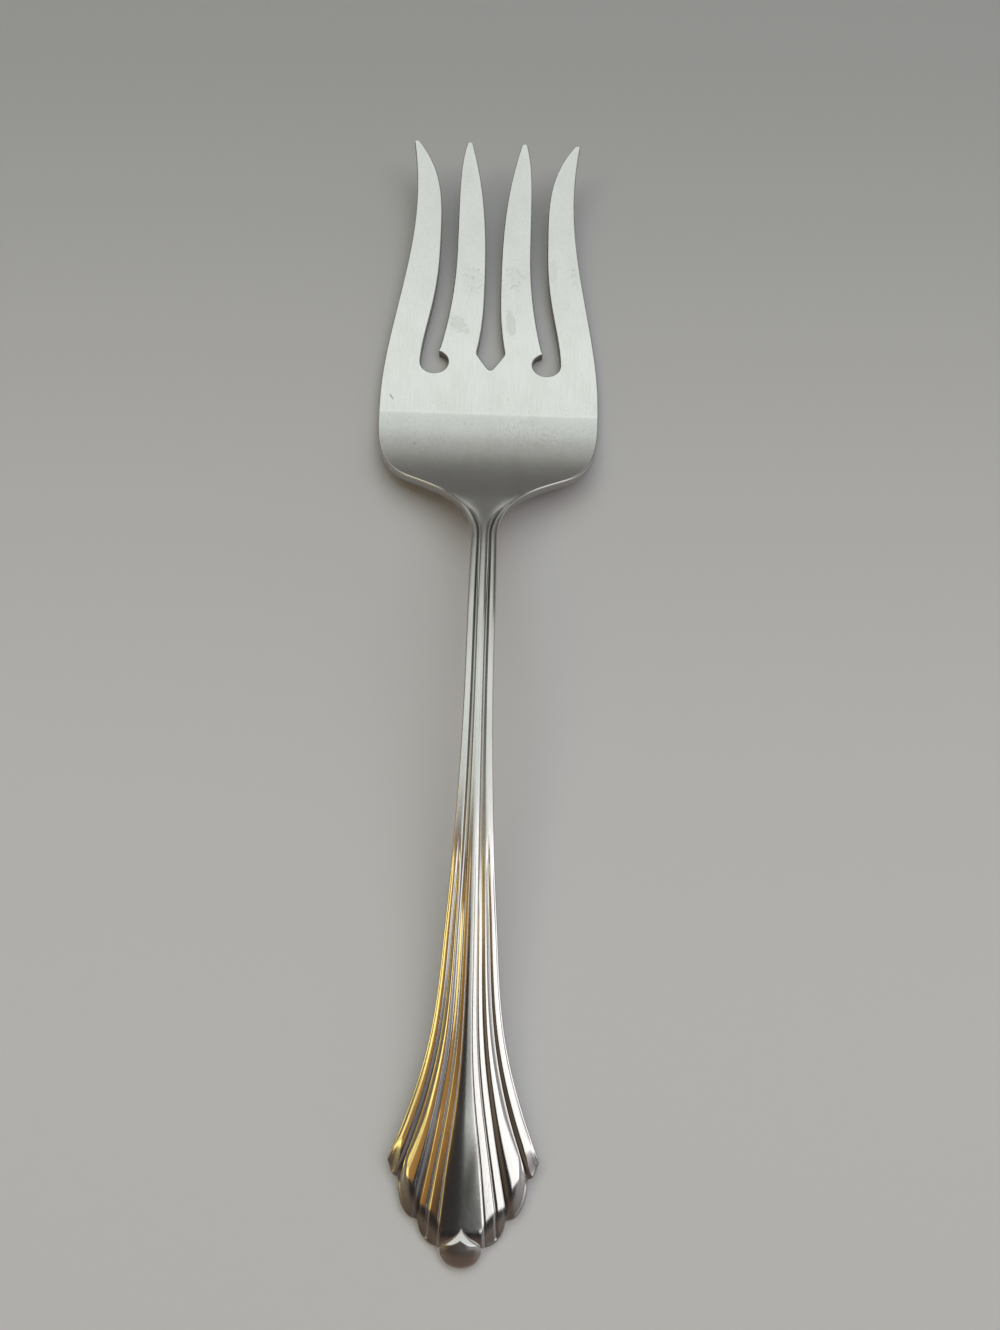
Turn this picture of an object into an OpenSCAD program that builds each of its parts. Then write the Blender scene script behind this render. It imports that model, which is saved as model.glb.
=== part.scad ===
// Cold meat serving fork, stamped from one blank and bent to shape.
// It is divided at its natural lines into tines, head, neck, shank, fan and finial,
// which meet face to face. A station is a distance from the end of the handle, and
// the finished part is centred on its length, with the table at height 0.

/* [Lengths] */
// From the end of the finial to the neck, where the head begins
handle_length = 119; // [109:1:140]
// Distance of the crest of the arch behind the neck
crest_drop = 24; // [14:1:34]
// From the neck to the crease across the head
heel_length = 31; // [26:1:42]
// Flat palm, from the crease to the roots of the tines
palm_length = 10; // [6:0.5:16]
// From the roots of the tines to their tips
tine_length = 59; // [52:1:70]

/* [Head] */
// Width of the head at its widest
head_width = 44.7; // [41:0.1:50]
// Distance of the widest place below the roots of the tines
widest_drop = 6; // [3:0.5:9]
// Width across the ends of the shoulders, where the corners begin
shoulder_width = 30.8; // [26:0.1:34]
// Distance of those ends past the neck
shoulder_run = 12.9; // [11:0.1:15]
// Slope of the shoulders at those ends, in degrees
shoulder_angle = 27; // [18:1:36]

/* [Tines] */
// Distance between the tips of the outer tines
outer_tip_span = 36; // [33:0.1:38]
// Distance between the tips of the inner tines
inner_tip_span = 12.2; // [11:0.1:14]
// Width of a tine at its blunt tip
tip_width = 0.65; // [0.4:0.05:1.2]
// Width across the outer tines at their waist
waist_width = 34.8; // [32:0.1:36]
// Distance of that waist below the tips
waist_drop = 14.5; // [10:0.5:18]
// Distance between the insides of the outer tines at their narrowest
outer_gap_span = 23.2; // [22:0.1:24]
// Distance of that narrowest place below the tips
outer_gap_drop = 24.6; // [21:0.1:28]
// Width across the pair of inner tines at their belly
inner_pair_width = 16.1; // [15:0.1:17]
// Distance below the tips where the inner tines begin to taper
inner_taper = 19; // [14:0.5:24]
// Distance below the tips where the barbs have run out
barb_run_drop = 27; // [22:0.5:32]
// Width of the middle slot at its narrowest
slot_width = 3.3; // [2.4:0.1:4.2]
// Distance of that narrowest place below the tips
slot_drop = 36.5; // [30:0.5:40]
// Width of the middle slot across the corners of its throat
throat_width = 5.9; // [5:0.1:7]
// Height of those corners above the roots
throat_height = 5.3; // [4:0.1:6.5]
// Height of the bottom of the throat above the roots
throat_bottom = 0.9; // [0.4:0.1:2]
// Radius of the round eyes at the bottom of the outer slots
eye_radius = 2.85; // [2.4:0.05:3.2]
// Distance between the centres of the two eyes
eye_span = 23.3; // [22:0.1:25]
// Height of the barb points above the centres of the eyes, as a share of the radius
barb_rise = 0.96; // [0.85:0.01:0.98]

/* [Handle] */
// Width of the plain shank
shank_width = 4.8; // [4:0.1:6]
// Distance behind the neck where the shank begins to widen
neck_lead = 2.5; // [1:0.5:4]
// Station where the taper of the handle ends in the plain shank
taper_end = 92; // [80:1:98]
// Width halfway along the taper
taper_width = 8; // [7:0.1:9.5]
// Station of that width
taper_station = 50; // [44:1:56]
// Width where the sides begin to flare
flare_width = 11.9; // [10.5:0.1:13.5]
// Station of that width
flare_station = 31; // [27:0.5:35]
// Width across the outer corners of the fan
fan_width = 22.9; // [20:0.1:26]
// Station of those corners
fan_corner = 14.3; // [12.8:0.1:16]
// Angle of the sides of the fan to the centre line at those corners
fan_angle = 23; // [15:1:28]
// Station where the flutes of the fan run out into the shank
flute_root = 62; // [56:1:68]

/* [Ornament] */
// Width across the notches between the outer and inner petals
petal_width = 19.4; // [17:0.1:21]
// Station of those notches
petal_notch = 12; // [10.5:0.1:13]
// Width of the middle tongue across its notches
tongue_width = 13; // [11.5:0.1:14.5]
// Station of those notches
tongue_notch = 6.4; // [5.6:0.1:7.4]
// Width of the middle bead of the shank
bead_width = 2; // [1.4:0.1:2.4]
// Width of the finial
finial_width = 6.4; // [5:0.1:7.6]
// Height of the point of the finial above its end
finial_length = 5.55; // [4.6:0.05:6.4]
// Height of the side points of the finial above its end
finial_side = 2.85; // [2.2:0.05:3.4]
// Height of the crown of the finial above the tongue
finial_crown = 0.45; // [0.2:0.05:0.8]
// Depth of the flutes of the fan
flute_depth = 0.5; // [0.3:0.05:0.65]
// Depth of the two grooves along the shank
groove_depth = 0.45; // [0.2:0.05:0.65]
// Rounding of the tongue across the fan
tongue_crown = 0.42; // [0.1:0.02:0.5]
// Rounding of the middle bead of the shank
bead_crown = 0.16; // [0:0.02:0.3]
// Depth of the fine line along each side of the tongue
line_depth = 0.16; // [0.04:0.02:0.3]
// Drop of the crests of the inner petals below the tongue
inner_petal_drop = 0.12; // [0:0.02:0.4]
// Drop of the crests of the outer petals below the tongue
outer_petal_drop = 0.34; // [0:0.02:0.5]
// Depth of the rounding over at the ends of the petals
end_round = 0.95; // [0.3:0.05:1.05]
// Length of that rounding
end_round_length = 4.2; // [2.5:0.1:5.5]

/* [Thickness] */
// Thickness at the end of the handle
fan_thickness = 2.4; // [2:0.1:3.4]
// Thickness at the crest of the arch
shank_thickness = 3; // [2.4:0.1:4]
// Thickness of the palm
palm_thickness = 1.9; // [1.4:0.1:2.6]
// Thickness at the tips of the tines
tip_thickness = 1.2; // [0.8:0.05:1.8]
// Broken edges of the head and tines
edge_break = 0.3; // [0.1:0.05:0.5]
// Rounding of the lower edges of the handle
under_round = 0.55; // [0.2:0.05:0.9]

/* [Bends] */
// Height of the underside of the crest of the arch above the table
crest_rise = 13; // [8:0.5:18]
// Angle of the crease across the head, in degrees
crease_angle = 4.5; // [0:0.5:9]
// Height of the underside of the tips above the table
tine_lift = 7; // [2:0.5:12]

/* [Hidden] */
steel = "#C9CAC6";
polished = "#B4B3B0";

// Ends of the flutes and grooves: run-out into the shank, lengths over which the petals part
// and the flutes deepen, and where the grooves fade on the neck
run_out = 2;
petals_part = 18;
flutes_deepen = 30;
tongue_delay = 26;
petal_delay = 12;
groove_past_neck = 4;
groove_fade = 4.5;

// Stations along the fork
crest = handle_length - crest_drop;
neck_foot = handle_length - neck_lead;
shoulder = handle_length + shoulder_run;
crease = handle_length + heel_length;
root = crease + palm_length;
tip = root + tine_length;
widest = root - widest_drop;
waist = tip - waist_drop;
eye_station = root + eye_radius;
barb_station = eye_station + barb_rise * eye_radius;
fan_root = flute_root - run_out;

// Half widths used on both sides of the centre line
head_half = head_width / 2;
shank_half = shank_width / 2;
shoulder_half = shoulder_width / 2;
waist_half = waist_width / 2;
eye_x = eye_span / 2;
barb_x = eye_x - eye_radius * sqrt(1 - barb_rise * barb_rise);
rim_width = shank_half - bead_width / 2;

// Counts of rows and columns in the surfaces
eye_rows = 11;
tine_rows = 24;
head_rows = 16;
neck_rows = 12;
shank_rows = 12;
fan_rows = 24;
finial_columns = 6;
finial_rings = 5;
line_columns = 2;
inner_petal_columns = 8;
outer_petal_columns = 6;

// Slopes of the handle's sides at its knots, and reach of the control points of the neck
flare_slope = -0.2;
taper_slope = -0.08;
neck_swell = 0.4;
neck_reach = 5;
shoulder_reach = 5.6;
corner_reach = 7.5;
widest_reach = 10;

// Shape of the curves
line_share = 0.8;
line_reach = 0.04;
petal_share_shank = 0.41;
step_width = 0.2;
petal_crest = 0.3;
inner_petal_fall = 1.5;
outer_petal_fall = 0.85;
petal_column_power = 1.35;
bead_crest = 0.45;
bead_fall = 0.75;
lobe_power = 0.6;
notch_share = 0.5;
end_flatten = 0.45;
lip_round = 0.4;
lip_length = 0.7;
seat_drop = 0.1;
bud_drop = 0.8;
bud_blend = 1.2;
bud_lean = 0.12;
bevel_slope = 0.5;
point_power = 0.6;
tongue_fullness = 0.6;
inner_fullness = 0.8;
outer_fullness = 1.2;
slot_power = 2.7;
throat_power = 2.5;
throat_corner_power = 0.9;
heel_power = 1.6;
outer_gap_power = 3.4;
inner_tip_power = 4;
eye_ease_power = 1.4;
search_steps = 26;
slope_span = 0.2;
least_break = 0.03;

function clamp(t) = min(max(t, 0), 1);
function ease(t) = let (c = clamp(t)) c * c * (3 - 2 * c);
function mix(a, b, t) = a + (b - a) * t;

// Value at station s of the smooth curve between two knots of station, value and slope
function hermite(a, b, s) =
    let (span = b[0] - a[0])
    let (t = (s - a[0]) / span)
    mix(a[1], b[1], ease(t)) + span * (a[2] * t * (1 - t) * (1 - t) - b[2] * t * t * (1 - t));

// Point of a cubic curve with control points c
function cubic(c, t) =
    let (u = 1 - t)
    u * u * u * c[0] + 3 * u * u * t * c[1] + 3 * u * t * t * c[2] + t * t * t * c[3];

// Half width of a rising cubic curve at station s, found by halving
function cubic_at(c, s, low = 0, high = 1, left = search_steps) =
    let (middle = (low + high) / 2)
    let (point = cubic(c, middle))
    left == 0 ? point[0]
    : point[1] < s ? cubic_at(c, s, middle, high, left - 1)
    : cubic_at(c, s, low, middle, left - 1);

// Side view: height of the underside, and thickness, at station s
function under(s) =
    s < crest ? crest_rise * ease(s / crest)
    : s < crease ? hermite([crest, crest_rise, 0], [crease, 0, -tan(crease_angle)], s)
    : tine_lift * pow(max(s - root, 0) / tine_length, 2);

function thickness(s) =
    s < crest ? mix(fan_thickness, shank_thickness, ease(s / crest))
    : s < crease ? mix(shank_thickness, palm_thickness, ease((s - crest) / (crease - crest)))
    : mix(palm_thickness, tip_thickness, max(s - root, 0) / tine_length);

function over(s) = under(s) + thickness(s);

// Outline in plan: half width of the handle, neck, head and outer tines at station s
fan_knot = [fan_corner, fan_width / 2, -tan(fan_angle)];
flare_knot = [flare_station, flare_width / 2, flare_slope];
taper_knot = [taper_station, taper_width / 2, taper_slope];
shank_knot = [taper_end, shank_half, 0];
shoulder_lean = [cos(shoulder_angle), sin(shoulder_angle)];
shoulder_end = [shoulder_half, shoulder];
neck_curve = [[shank_half, neck_foot], [shank_half + neck_swell, shoulder - neck_reach],
              shoulder_end - shoulder_reach * shoulder_lean, shoulder_end];
corner_curve = [shoulder_end, shoulder_end + corner_reach * shoulder_lean,
                [head_half, widest - widest_reach], [head_half, widest]];

function outline(s) =
    s < fan_corner ? fan_knot[1] + fan_knot[2] * (s - fan_corner)
    : s < flare_station ? hermite(fan_knot, flare_knot, s)
    : s < taper_station ? hermite(flare_knot, taper_knot, s)
    : s < taper_end ? hermite(taper_knot, shank_knot, s)
    : s < neck_foot ? shank_half
    : s < shoulder ? cubic_at(neck_curve, s)
    : s < widest ? cubic_at(corner_curve, s)
    : s < waist ? mix(head_half, waist_half, ease((s - widest) / (waist - widest)))
    : mix(waist_half, (outer_tip_span + tip_width) / 2, pow((s - waist) / waist_drop, 2));

// Edges of the slots at station s, right of the centre line
function eye_half(s) = sqrt(max(pow(eye_radius, 2) - pow(s - eye_station, 2), 0));

function outer_tine_inside(s) =
    let (low = tip - outer_gap_drop)
    s < eye_station ? eye_x + eye_half(s)
    : s < low ? mix(outer_gap_span / 2, eye_x + eye_radius,
                    ease(pow((low - s) / (low - eye_station), eye_ease_power)))
    : mix(outer_gap_span / 2, (outer_tip_span - tip_width) / 2,
          pow((s - low) / outer_gap_drop, outer_gap_power));

function inner_tine_outside(s) =
    let (barb_end = tip - barb_run_drop)
    s < barb_station ? eye_x - eye_half(s)
    : s < barb_end ? mix(barb_x, inner_pair_width / 2,
                        1 - pow((barb_end - s) / (barb_end - barb_station), 2))
    : mix(inner_pair_width / 2, (inner_tip_span + tip_width) / 2,
          pow(max(s - tip + inner_taper, 0) / inner_taper, inner_tip_power));

function inner_tine_inside(s) =
    let (narrow = tip - slot_drop, corner = root + throat_height, bottom = root + throat_bottom)
    s < bottom ? 0
    : s < corner ? throat_width / 2 * pow((s - bottom) / (corner - bottom), throat_corner_power)
    : s < narrow ? mix(slot_width, throat_width,
                       pow((narrow - s) / (narrow - corner), throat_power)) / 2
    : mix(slot_width / 2, (inner_tip_span - tip_width) / 2,
          pow((s - narrow) / slot_drop, slot_power));

// Lines of the ornament: the edge of the tongue, and the edge of the inner petals
tongue_share_shank = bead_width / shank_width;
tongue_share_end = tongue_width / 2 / outline(tongue_notch);
tongue_spread = flute_root - tongue_delay;
petal_tongue = tongue_edge(petal_notch);
petal_share_end = (petal_width / 2 - petal_tongue) / (outline(petal_notch) - petal_tongue);
petal_spread = flute_root - petal_delay;

function slope(s) = (outline(s + slope_span) - outline(s - slope_span)) / (2 * slope_span);
function tongue_edge(s) =
    s > neck_foot ? outline(s) - rim_width * sqrt(1 + pow(slope(s), 2))
    : outline(s) * mix(tongue_share_shank, tongue_share_end,
                       pow(clamp((tongue_spread - s) / (tongue_spread - tongue_notch)), 2));
function petal_edge(s) =
    mix(tongue_edge(s), outline(s), mix(petal_share_shank, petal_share_end,
                       pow(clamp((petal_spread - s) / (petal_spread - petal_notch)), 2)));

// The point of the finial: half width and station of its edge, from the point to the side
function finial_point(t) =
    [finial_width / 2 * pow(t, 1 / point_power), mix(finial_length, finial_side, t)];
function finial_share(t) = let (p = finial_point(t)) p[0] / tongue_edge(p[1]);

// Columns of the handle on one side: band, and place from its inner to its outer edge.
// Band 0 is the tongue, 1 the inner petal and 2 the outer petal.
function petal_place(share) = 1 - pow(1 - share, petal_column_power);
half_columns = concat(
    [for (k = [0 : finial_columns]) [0, finial_share(k / finial_columns)]],
    [for (k = [1 : line_columns]) [0, mix(finial_share(1), line_share - line_reach, k / line_columns)]],
    [[0, line_share]],
    [for (k = [0 : line_columns]) [0, mix(line_share + line_reach, 1, k / line_columns)]],
    [for (k = [0 : inner_petal_columns]) [1, petal_place(k / inner_petal_columns)]],
    [for (k = [0 : outer_petal_columns]) [2, petal_place(k / outer_petal_columns)]]);
columns = concat(
    [for (k = [len(half_columns) - 1 : -1 : 1]) [-1, half_columns[k]]],
    [for (c = half_columns) [1, c]]);

// Distance of a column from the centre line at station s
function column_x(c, s) =
    c[0] == 0 ? c[1] * tongue_edge(s)
    : c[0] == 1 ? mix(tongue_edge(s) + step_width, petal_edge(s), c[1])
    : mix(petal_edge(s) + step_width, outline(s), c[1]);

// Station where a column ends, which draws the finial's seat and the rounded petals
function lobe(high, low, q, fullness) = mix(high, low, pow(sin(90 * clamp(q)), fullness));
function column_end(c) =
    let (side_share = finial_share(1))
    c[0] == 2 ? lobe(fan_corner, petal_notch, 1 - c[1], outer_fullness)
    : c[0] == 1 ? lobe(petal_notch, tongue_notch, 1 - c[1], inner_fullness)
    : c[1] > side_share ? lobe(tongue_notch, finial_side, (1 - c[1]) / (1 - side_share), tongue_fullness)
    : finial_end(c[1]);

// Station of the finial's edge on the column with this share of the tongue
function finial_end(share, low = 0, high = 1, left = search_steps) =
    let (middle = (low + high) / 2)
    left == 0 ? finial_point(middle)[1]
    : finial_share(middle) < share ? finial_end(share, middle, high, left - 1)
    : finial_end(share, low, middle, left - 1);

// Rounding over of the petals' ends: a long bend and a lip, deepest in the middle of each lobe
function lobe_middle(c) =
    let (side_share = finial_share(1))
    let (v = c[0] == 0 ? (c[1] - side_share) / (1 - side_share) : c[1])
    pow(sin(180 * clamp(v)), lobe_power);
function end_line(c) = c[0] == 0 && c[1] < finial_share(1) ? finial_side : column_end(c);
function end_near(c, s, length) = clamp(1 - (s - end_line(c)) / length);
function end_bend(c, s) =
    let (share = mix(notch_share, 1, lobe_middle(c)))
    share * pow(end_near(c, s, end_round_length * share), 2);
function end_lip(c, s) =
    let (near = end_near(c, s, lip_length))
    lobe_middle(c) * (1 - sqrt(1 - near * near));

// Relief of the handle, as a drop below its crown
function rib(v, crest, fall) =
    v < crest ? ease(v / crest) : 1 - fall * pow((v - crest) / (1 - crest), 2);
function fluted(s) = ease((flute_root - s) / petals_part);
function relief_depth(s) =
    mix(groove_depth, flute_depth, ease((flute_root - s) / flutes_deepen));
function tongue_drop(v, s) =
    let (line = abs(v - line_share) < line_reach / 2 ? line_depth : 0)
    mix(bead_crown, tongue_crown, fluted(s)) * v * v + line * fluted(s);
function petal_drop(c, s) =
    let (edge = tongue_edge(s))
    let (across = clamp((column_x(c, s) - edge) / (outline(s) - edge)))
    let (level = c[0] == 1 ? inner_petal_drop : outer_petal_drop)
    let (fall = c[0] == 1 ? inner_petal_fall : outer_petal_fall)
    let (single = inner_petal_drop + relief_depth(s) * (1 - rib(across, bead_crest, bead_fall)))
    mix(single, level + relief_depth(s) * (1 - rib(c[1], petal_crest, fall)), fluted(s));
function faded(s) = 1 - ease((s - handle_length - groove_past_neck) / groove_fade);

// Top and bottom of the handle on a column at station s
function handle_top(c, s) =
    let (inset = outline(s) - column_x(c, s))
    let (drop = c[0] == 0 ? tongue_drop(c[1], s) : petal_drop(c, s))
    let (bend = end_bend(c, s))
    over(s) - mix(max(edge_break - inset, 0), drop * (1 - end_flatten * bend), faded(s))
    - end_round * bend - lip_round * end_lip(c, s);
function handle_bottom(c, s) =
    let (round = mix(edge_break, under_round, faded(s)))
    under(s) + max(round - outline(s) + column_x(c, s), 0);

function place(x, s, z) = [x, s - tip / 2, z];

// Closed solid between two grids of points with the same rows and columns
module slab(top, bottom) {
    rows = len(top) - 1;
    wide = len(top[0]);
    last = wide - 1;
    under_start = len(top) * wide;
    points = concat([for (row = top) each row], [for (row = bottom) each row]);
    function t(r, c) = r * wide + c;
    function b(r, c) = under_start + r * wide + c;
    sheets = [for (r = [0 : rows - 1], c = [0 : last - 1]) each [
        [t(r, c), t(r + 1, c), t(r + 1, c + 1)], [t(r, c), t(r + 1, c + 1), t(r, c + 1)],
        [b(r, c), b(r + 1, c + 1), b(r + 1, c)], [b(r, c), b(r, c + 1), b(r + 1, c + 1)]]];
    sides = [for (r = [0 : rows - 1]) each [
        [t(r, 0), b(r, 0), b(r + 1, 0)], [t(r, 0), b(r + 1, 0), t(r + 1, 0)],
        [t(r, last), b(r + 1, last), b(r, last)], [t(r, last), t(r + 1, last), b(r + 1, last)]]];
    ends = [for (c = [0 : last - 1]) each [
        [t(0, c), t(0, c + 1), b(0, c + 1)], [t(0, c), b(0, c + 1), b(0, c)],
        [t(rows, c), b(rows, c + 1), t(rows, c + 1)], [t(rows, c), b(rows, c), b(rows, c + 1)]]];
    polyhedron(points, concat(sheets, sides, ends));
}

// Plate between a left and a right edge, bent to the side view, with broken edges.
// A section is its station, its two edges and the size of the break on each.
function plate_row(section, top) =
    let (s = section[0], left = section[1], right = section[2])
    let (level = top ? over(s) : under(s), turn = top ? -1 : 1)
    [place(left, s, level + turn * section[3]), place(left + section[3], s, level),
     place(right - section[4], s, level), place(right, s, level + turn * section[4])];
module plate(sections) {
    slab([for (section = sections) plate_row(section, true)],
         [for (section = sections) plate_row(section, false)]);
}

// Part of the handle between two stations, or from the petals' ends to a station
module handle_part(first, last, rows, from_ends = false) {
    function station(c, r) =
        from_ends ? mix(column_end(c), last, pow(r / rows, 2)) : mix(first, last, r / rows);
    slab([for (r = [0 : rows]) [for (c = columns)
            let (s = station(c[1], r))
            place(c[0] * column_x(c[1], s), s, handle_top(c[1], s))]],
         [for (r = [0 : rows]) [for (c = columns)
            let (s = station(c[1], r))
            place(c[0] * column_x(c[1], s), s, handle_bottom(c[1], s))]]);
}

// Stations along the tines: close together round the eyes, then evenly to the tips
eye_turn = acos(-barb_rise);
tine_stations = concat(
    [for (k = [0 : eye_rows]) eye_station - eye_radius * cos(eye_turn * k / eye_rows)],
    [for (k = [1 : tine_rows]) mix(barb_station, tip, k / tine_rows)]);

function edge_at(x, start) = min(edge_break, least_break + abs(x - start));
function outer_tine_section(s) =
    let (inside = outer_tine_inside(s))
    [s, inside, outline(s), edge_at(inside, eye_x), edge_break];
function inner_tine_section(s) =
    let (inside = inner_tine_inside(s), outside = inner_tine_outside(s))
    [s, inside, outside, edge_at(inside, 0), edge_at(outside, eye_x)];

module outer_tine() { plate([for (s = tine_stations) outer_tine_section(s)]); }
module inner_tine() { plate([for (s = tine_stations) inner_tine_section(s)]); }

module tine_outer_left() { color(steel) mirror([1, 0, 0]) outer_tine(); }
module tine_inner_left() { color(steel) mirror([1, 0, 0]) inner_tine(); }
module tine_inner_right() { color(steel) inner_tine(); }
module tine_outer_right() { color(steel) outer_tine(); }

module head() {
    heel = [for (k = [0 : head_rows]) mix(shoulder, crease, pow(k / head_rows, heel_power))];
    stations = concat(heel, [widest, root]);
    color(steel)
        plate([for (s = stations) [s, -outline(s), outline(s), edge_break, edge_break]]);
}

module neck() { color(steel) handle_part(neck_foot, shoulder, neck_rows); }

module shank() { color(polished) handle_part(fan_root, neck_foot, shank_rows); }

module fan() { color(polished) handle_part(0, fan_root, fan_rows, true); }

// Domed bud at the end of the handle, seated in the point cut into the tongue, with a bevel
// along its two upper edges
module finial() {
    turn = 180 / (2 * finial_columns);
    half = [for (k = [0 : finial_columns]) finial_point(k / finial_columns)];
    bottom_arc = [for (k = [1 : 2 * finial_columns - 1])
        [finial_width / 2 * cos(turn * k), finial_side * (1 - sin(turn * k))]];
    rim = concat(half, bottom_arc,
                 [for (k = [finial_columns : -1 : 1]) [-half[k][0], half[k][1]]]);
    count = len(rim);
    centre = [0, finial_side];
    summit = over(finial_side) + finial_crown;
    function dome(p, scale) =
        let (drop = mix(bud_drop, seat_drop, ease((p[1] - finial_side) / bud_blend)))
        summit - (finial_crown + drop) * (1 - sqrt(1 - scale * scale))
        + bud_lean * scale * (p[1] - finial_side);
    function bevel(p, scale) = over(p[1]) - seat_drop + bevel_slope * (1 - scale) * norm(p - centre);
    rings = [for (r = [0 : finial_rings - 1]) cos(90 * r / finial_rings)];
    top = [for (scale = rings) each [for (p = rim)
        let (q = centre + scale * (p - centre))
        place(q[0], q[1], min(dome(p, scale), bevel(p, scale)))]];
    lower = [for (p = rim) place(p[0], p[1], under(p[1]))];
    crown = count * finial_rings;
    points = concat(top, [place(0, finial_side, summit)],
                    lower, [place(0, finial_side, under(finial_side))]);
    function at(r, k) = r * count + k % count;
    function low(k) = crown + 1 + k % count;
    walls = [for (k = [0 : count - 1]) each [
        [at(0, k), at(0, k + 1), low(k)], [at(0, k + 1), low(k + 1), low(k)],
        [low(k), low(k + 1), crown + 1 + count],
        [at(finial_rings - 1, k), crown, at(finial_rings - 1, k + 1)]]];
    bands = [for (r = [0 : finial_rings - 2], k = [0 : count - 1]) each [
        [at(r, k), at(r + 1, k), at(r + 1, k + 1)], [at(r, k), at(r + 1, k + 1), at(r, k + 1)]]];
    color(polished) polyhedron(points, concat(walls, bands));
}

tine_outer_left();
tine_inner_left();
tine_inner_right();
tine_outer_right();
head();
neck();
shank();
fan();
finial();
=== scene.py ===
"""Looks of a cold meat serving fork: a satin blade, a polished fluted handle and a domed finial.

The fork is drawn by stations, which are distances in millimetres from the end of the handle.
Meshes are scaled to metres as they are made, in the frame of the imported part.
"""

import logging
import math
from abc import ABC, abstractmethod
from collections.abc import Callable
from dataclasses import dataclass
from enum import Enum

import bpy
import numpy as np
from mathutils import Matrix, Vector
from mathutils.geometry import delaunay_2d_cdt

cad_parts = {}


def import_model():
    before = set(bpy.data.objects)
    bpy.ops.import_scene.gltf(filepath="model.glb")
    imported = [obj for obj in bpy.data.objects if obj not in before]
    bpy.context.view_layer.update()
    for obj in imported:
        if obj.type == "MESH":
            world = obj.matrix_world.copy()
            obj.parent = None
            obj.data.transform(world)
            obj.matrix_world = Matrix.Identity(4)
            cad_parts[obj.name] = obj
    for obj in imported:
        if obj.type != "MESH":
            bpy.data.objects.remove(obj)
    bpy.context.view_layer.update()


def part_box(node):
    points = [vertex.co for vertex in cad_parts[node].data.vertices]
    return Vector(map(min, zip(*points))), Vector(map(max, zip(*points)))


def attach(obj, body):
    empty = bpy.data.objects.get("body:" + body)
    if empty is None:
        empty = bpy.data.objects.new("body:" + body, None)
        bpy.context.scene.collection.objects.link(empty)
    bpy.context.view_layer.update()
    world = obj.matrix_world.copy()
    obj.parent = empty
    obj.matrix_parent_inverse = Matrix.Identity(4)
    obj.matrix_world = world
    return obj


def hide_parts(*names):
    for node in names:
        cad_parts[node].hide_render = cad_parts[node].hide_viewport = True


MM = 0.001
LOG = logging.getLogger("fork")
Array = np.ndarray
Pair = tuple[float, float]
Triple = tuple[float, float, float]
Colour = tuple[float, ...]
Face = tuple[int, ...]
Socket = bpy.types.NodeSocket
Feed = Socket | bpy.types.Material | str | float | tuple | list


class Band(Enum):
    """Bands of ornament on each side of the handle's centre line."""

    TONGUE = 0
    INNER_PETAL = 1
    OUTER_PETAL = 2


class Toward(Enum):
    """The two sides of a cut across the fork."""

    HANDLE = -1
    TINES = 1


class Level(Enum):
    """The two faces of the fork."""

    TOP = 1
    BOTTOM = -1


def clamp(t: Array) -> Array:
    """Limits t to the range from 0 to 1."""
    return np.clip(t, 0.0, 1.0)


def ease(t: Array) -> Array:
    """Smooth step from 0 to 1."""
    c = clamp(t)
    return c * c * (3 - 2 * c)


def mix(a: Array, b: Array, t: Array) -> Array:
    """Value between a and b at share t."""
    return a + (b - a) * t


def hermite(a: Triple, b: Triple, s: Array) -> Array:
    """Smooth curve between two knots.

    Args:
        a: Station, value and slope of the first knot.
        b: Station, value and slope of the second knot.
        s: Stations where the curve is wanted.

    Returns:
        The curve's values at those stations.
    """
    span = b[0] - a[0]
    t = (s - a[0]) / span
    return mix(a[1], b[1], ease(t)) + span * (a[2] * t * (1 - t) ** 2 - b[2] * t * t * (1 - t))


def cubic(points: list[Pair | Array], count: int = 240) -> Array:
    """Samples a cubic curve.

    Args:
        points: Its four control points, as half width and station.
        count: Number of samples.

    Returns:
        Points along the curve, in order.
    """
    t = np.linspace(0, 1, count)[:, None]
    c = [np.asarray(p, float) for p in points]
    return ((1 - t) ** 3 * c[0] + 3 * (1 - t) ** 2 * t * c[1]
            + 3 * (1 - t) * t**2 * c[2] + t**3 * c[3])


def run_along(path: Array) -> Array:
    """Distance of each point of a path from its start, along the path."""
    return np.concatenate([[0], np.cumsum(np.linalg.norm(np.diff(path, axis=0), axis=1))])


def bend(start: Array, corner: Array, stop: Array, t: Array) -> Array:
    """Points at shares t of a round bend that takes the place of a corner."""
    return (1 - t) ** 2 * start + 2 * (1 - t) * t * corner + t**2 * stop


def walk(path: Array, step: float) -> Array:
    """Spaces the points of a path evenly.

    Args:
        path: Points in plan, in order.
        step: Wanted distance between neighbours, in millimetres.

    Returns:
        Points along the same path, about that far apart, with both ends kept.
    """
    run = run_along(path)
    places = np.linspace(0, run[-1], max(2, int(round(run[-1] / step)) + 1))
    return np.stack([np.interp(places, run, path[:, 0]), np.interp(places, run, path[:, 1])], 1)


def join_round(first: Array, second: Array, reach: float, count: int = 7) -> Array:
    """Joins two paths that share a corner, and rounds the corner.

    Args:
        first: Path that ends at the corner.
        second: Path that starts there.
        reach: Length of each path that the rounding takes up, in millimetres.
        count: Points on the rounding.

    Returns:
        The joined path.
    """
    corner = first[-1]
    before = first[np.linalg.norm(first - corner, axis=1) > reach]
    after = second[np.linalg.norm(second - corner, axis=1) > reach]
    a = corner + (before[-1] - corner) * reach / np.linalg.norm(before[-1] - corner)
    b = corner + (after[0] - corner) * reach / np.linalg.norm(after[0] - corner)
    t = np.linspace(0, 1, count)[:, None]
    return np.concatenate([before, bend(a, corner, b, t), after])


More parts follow.
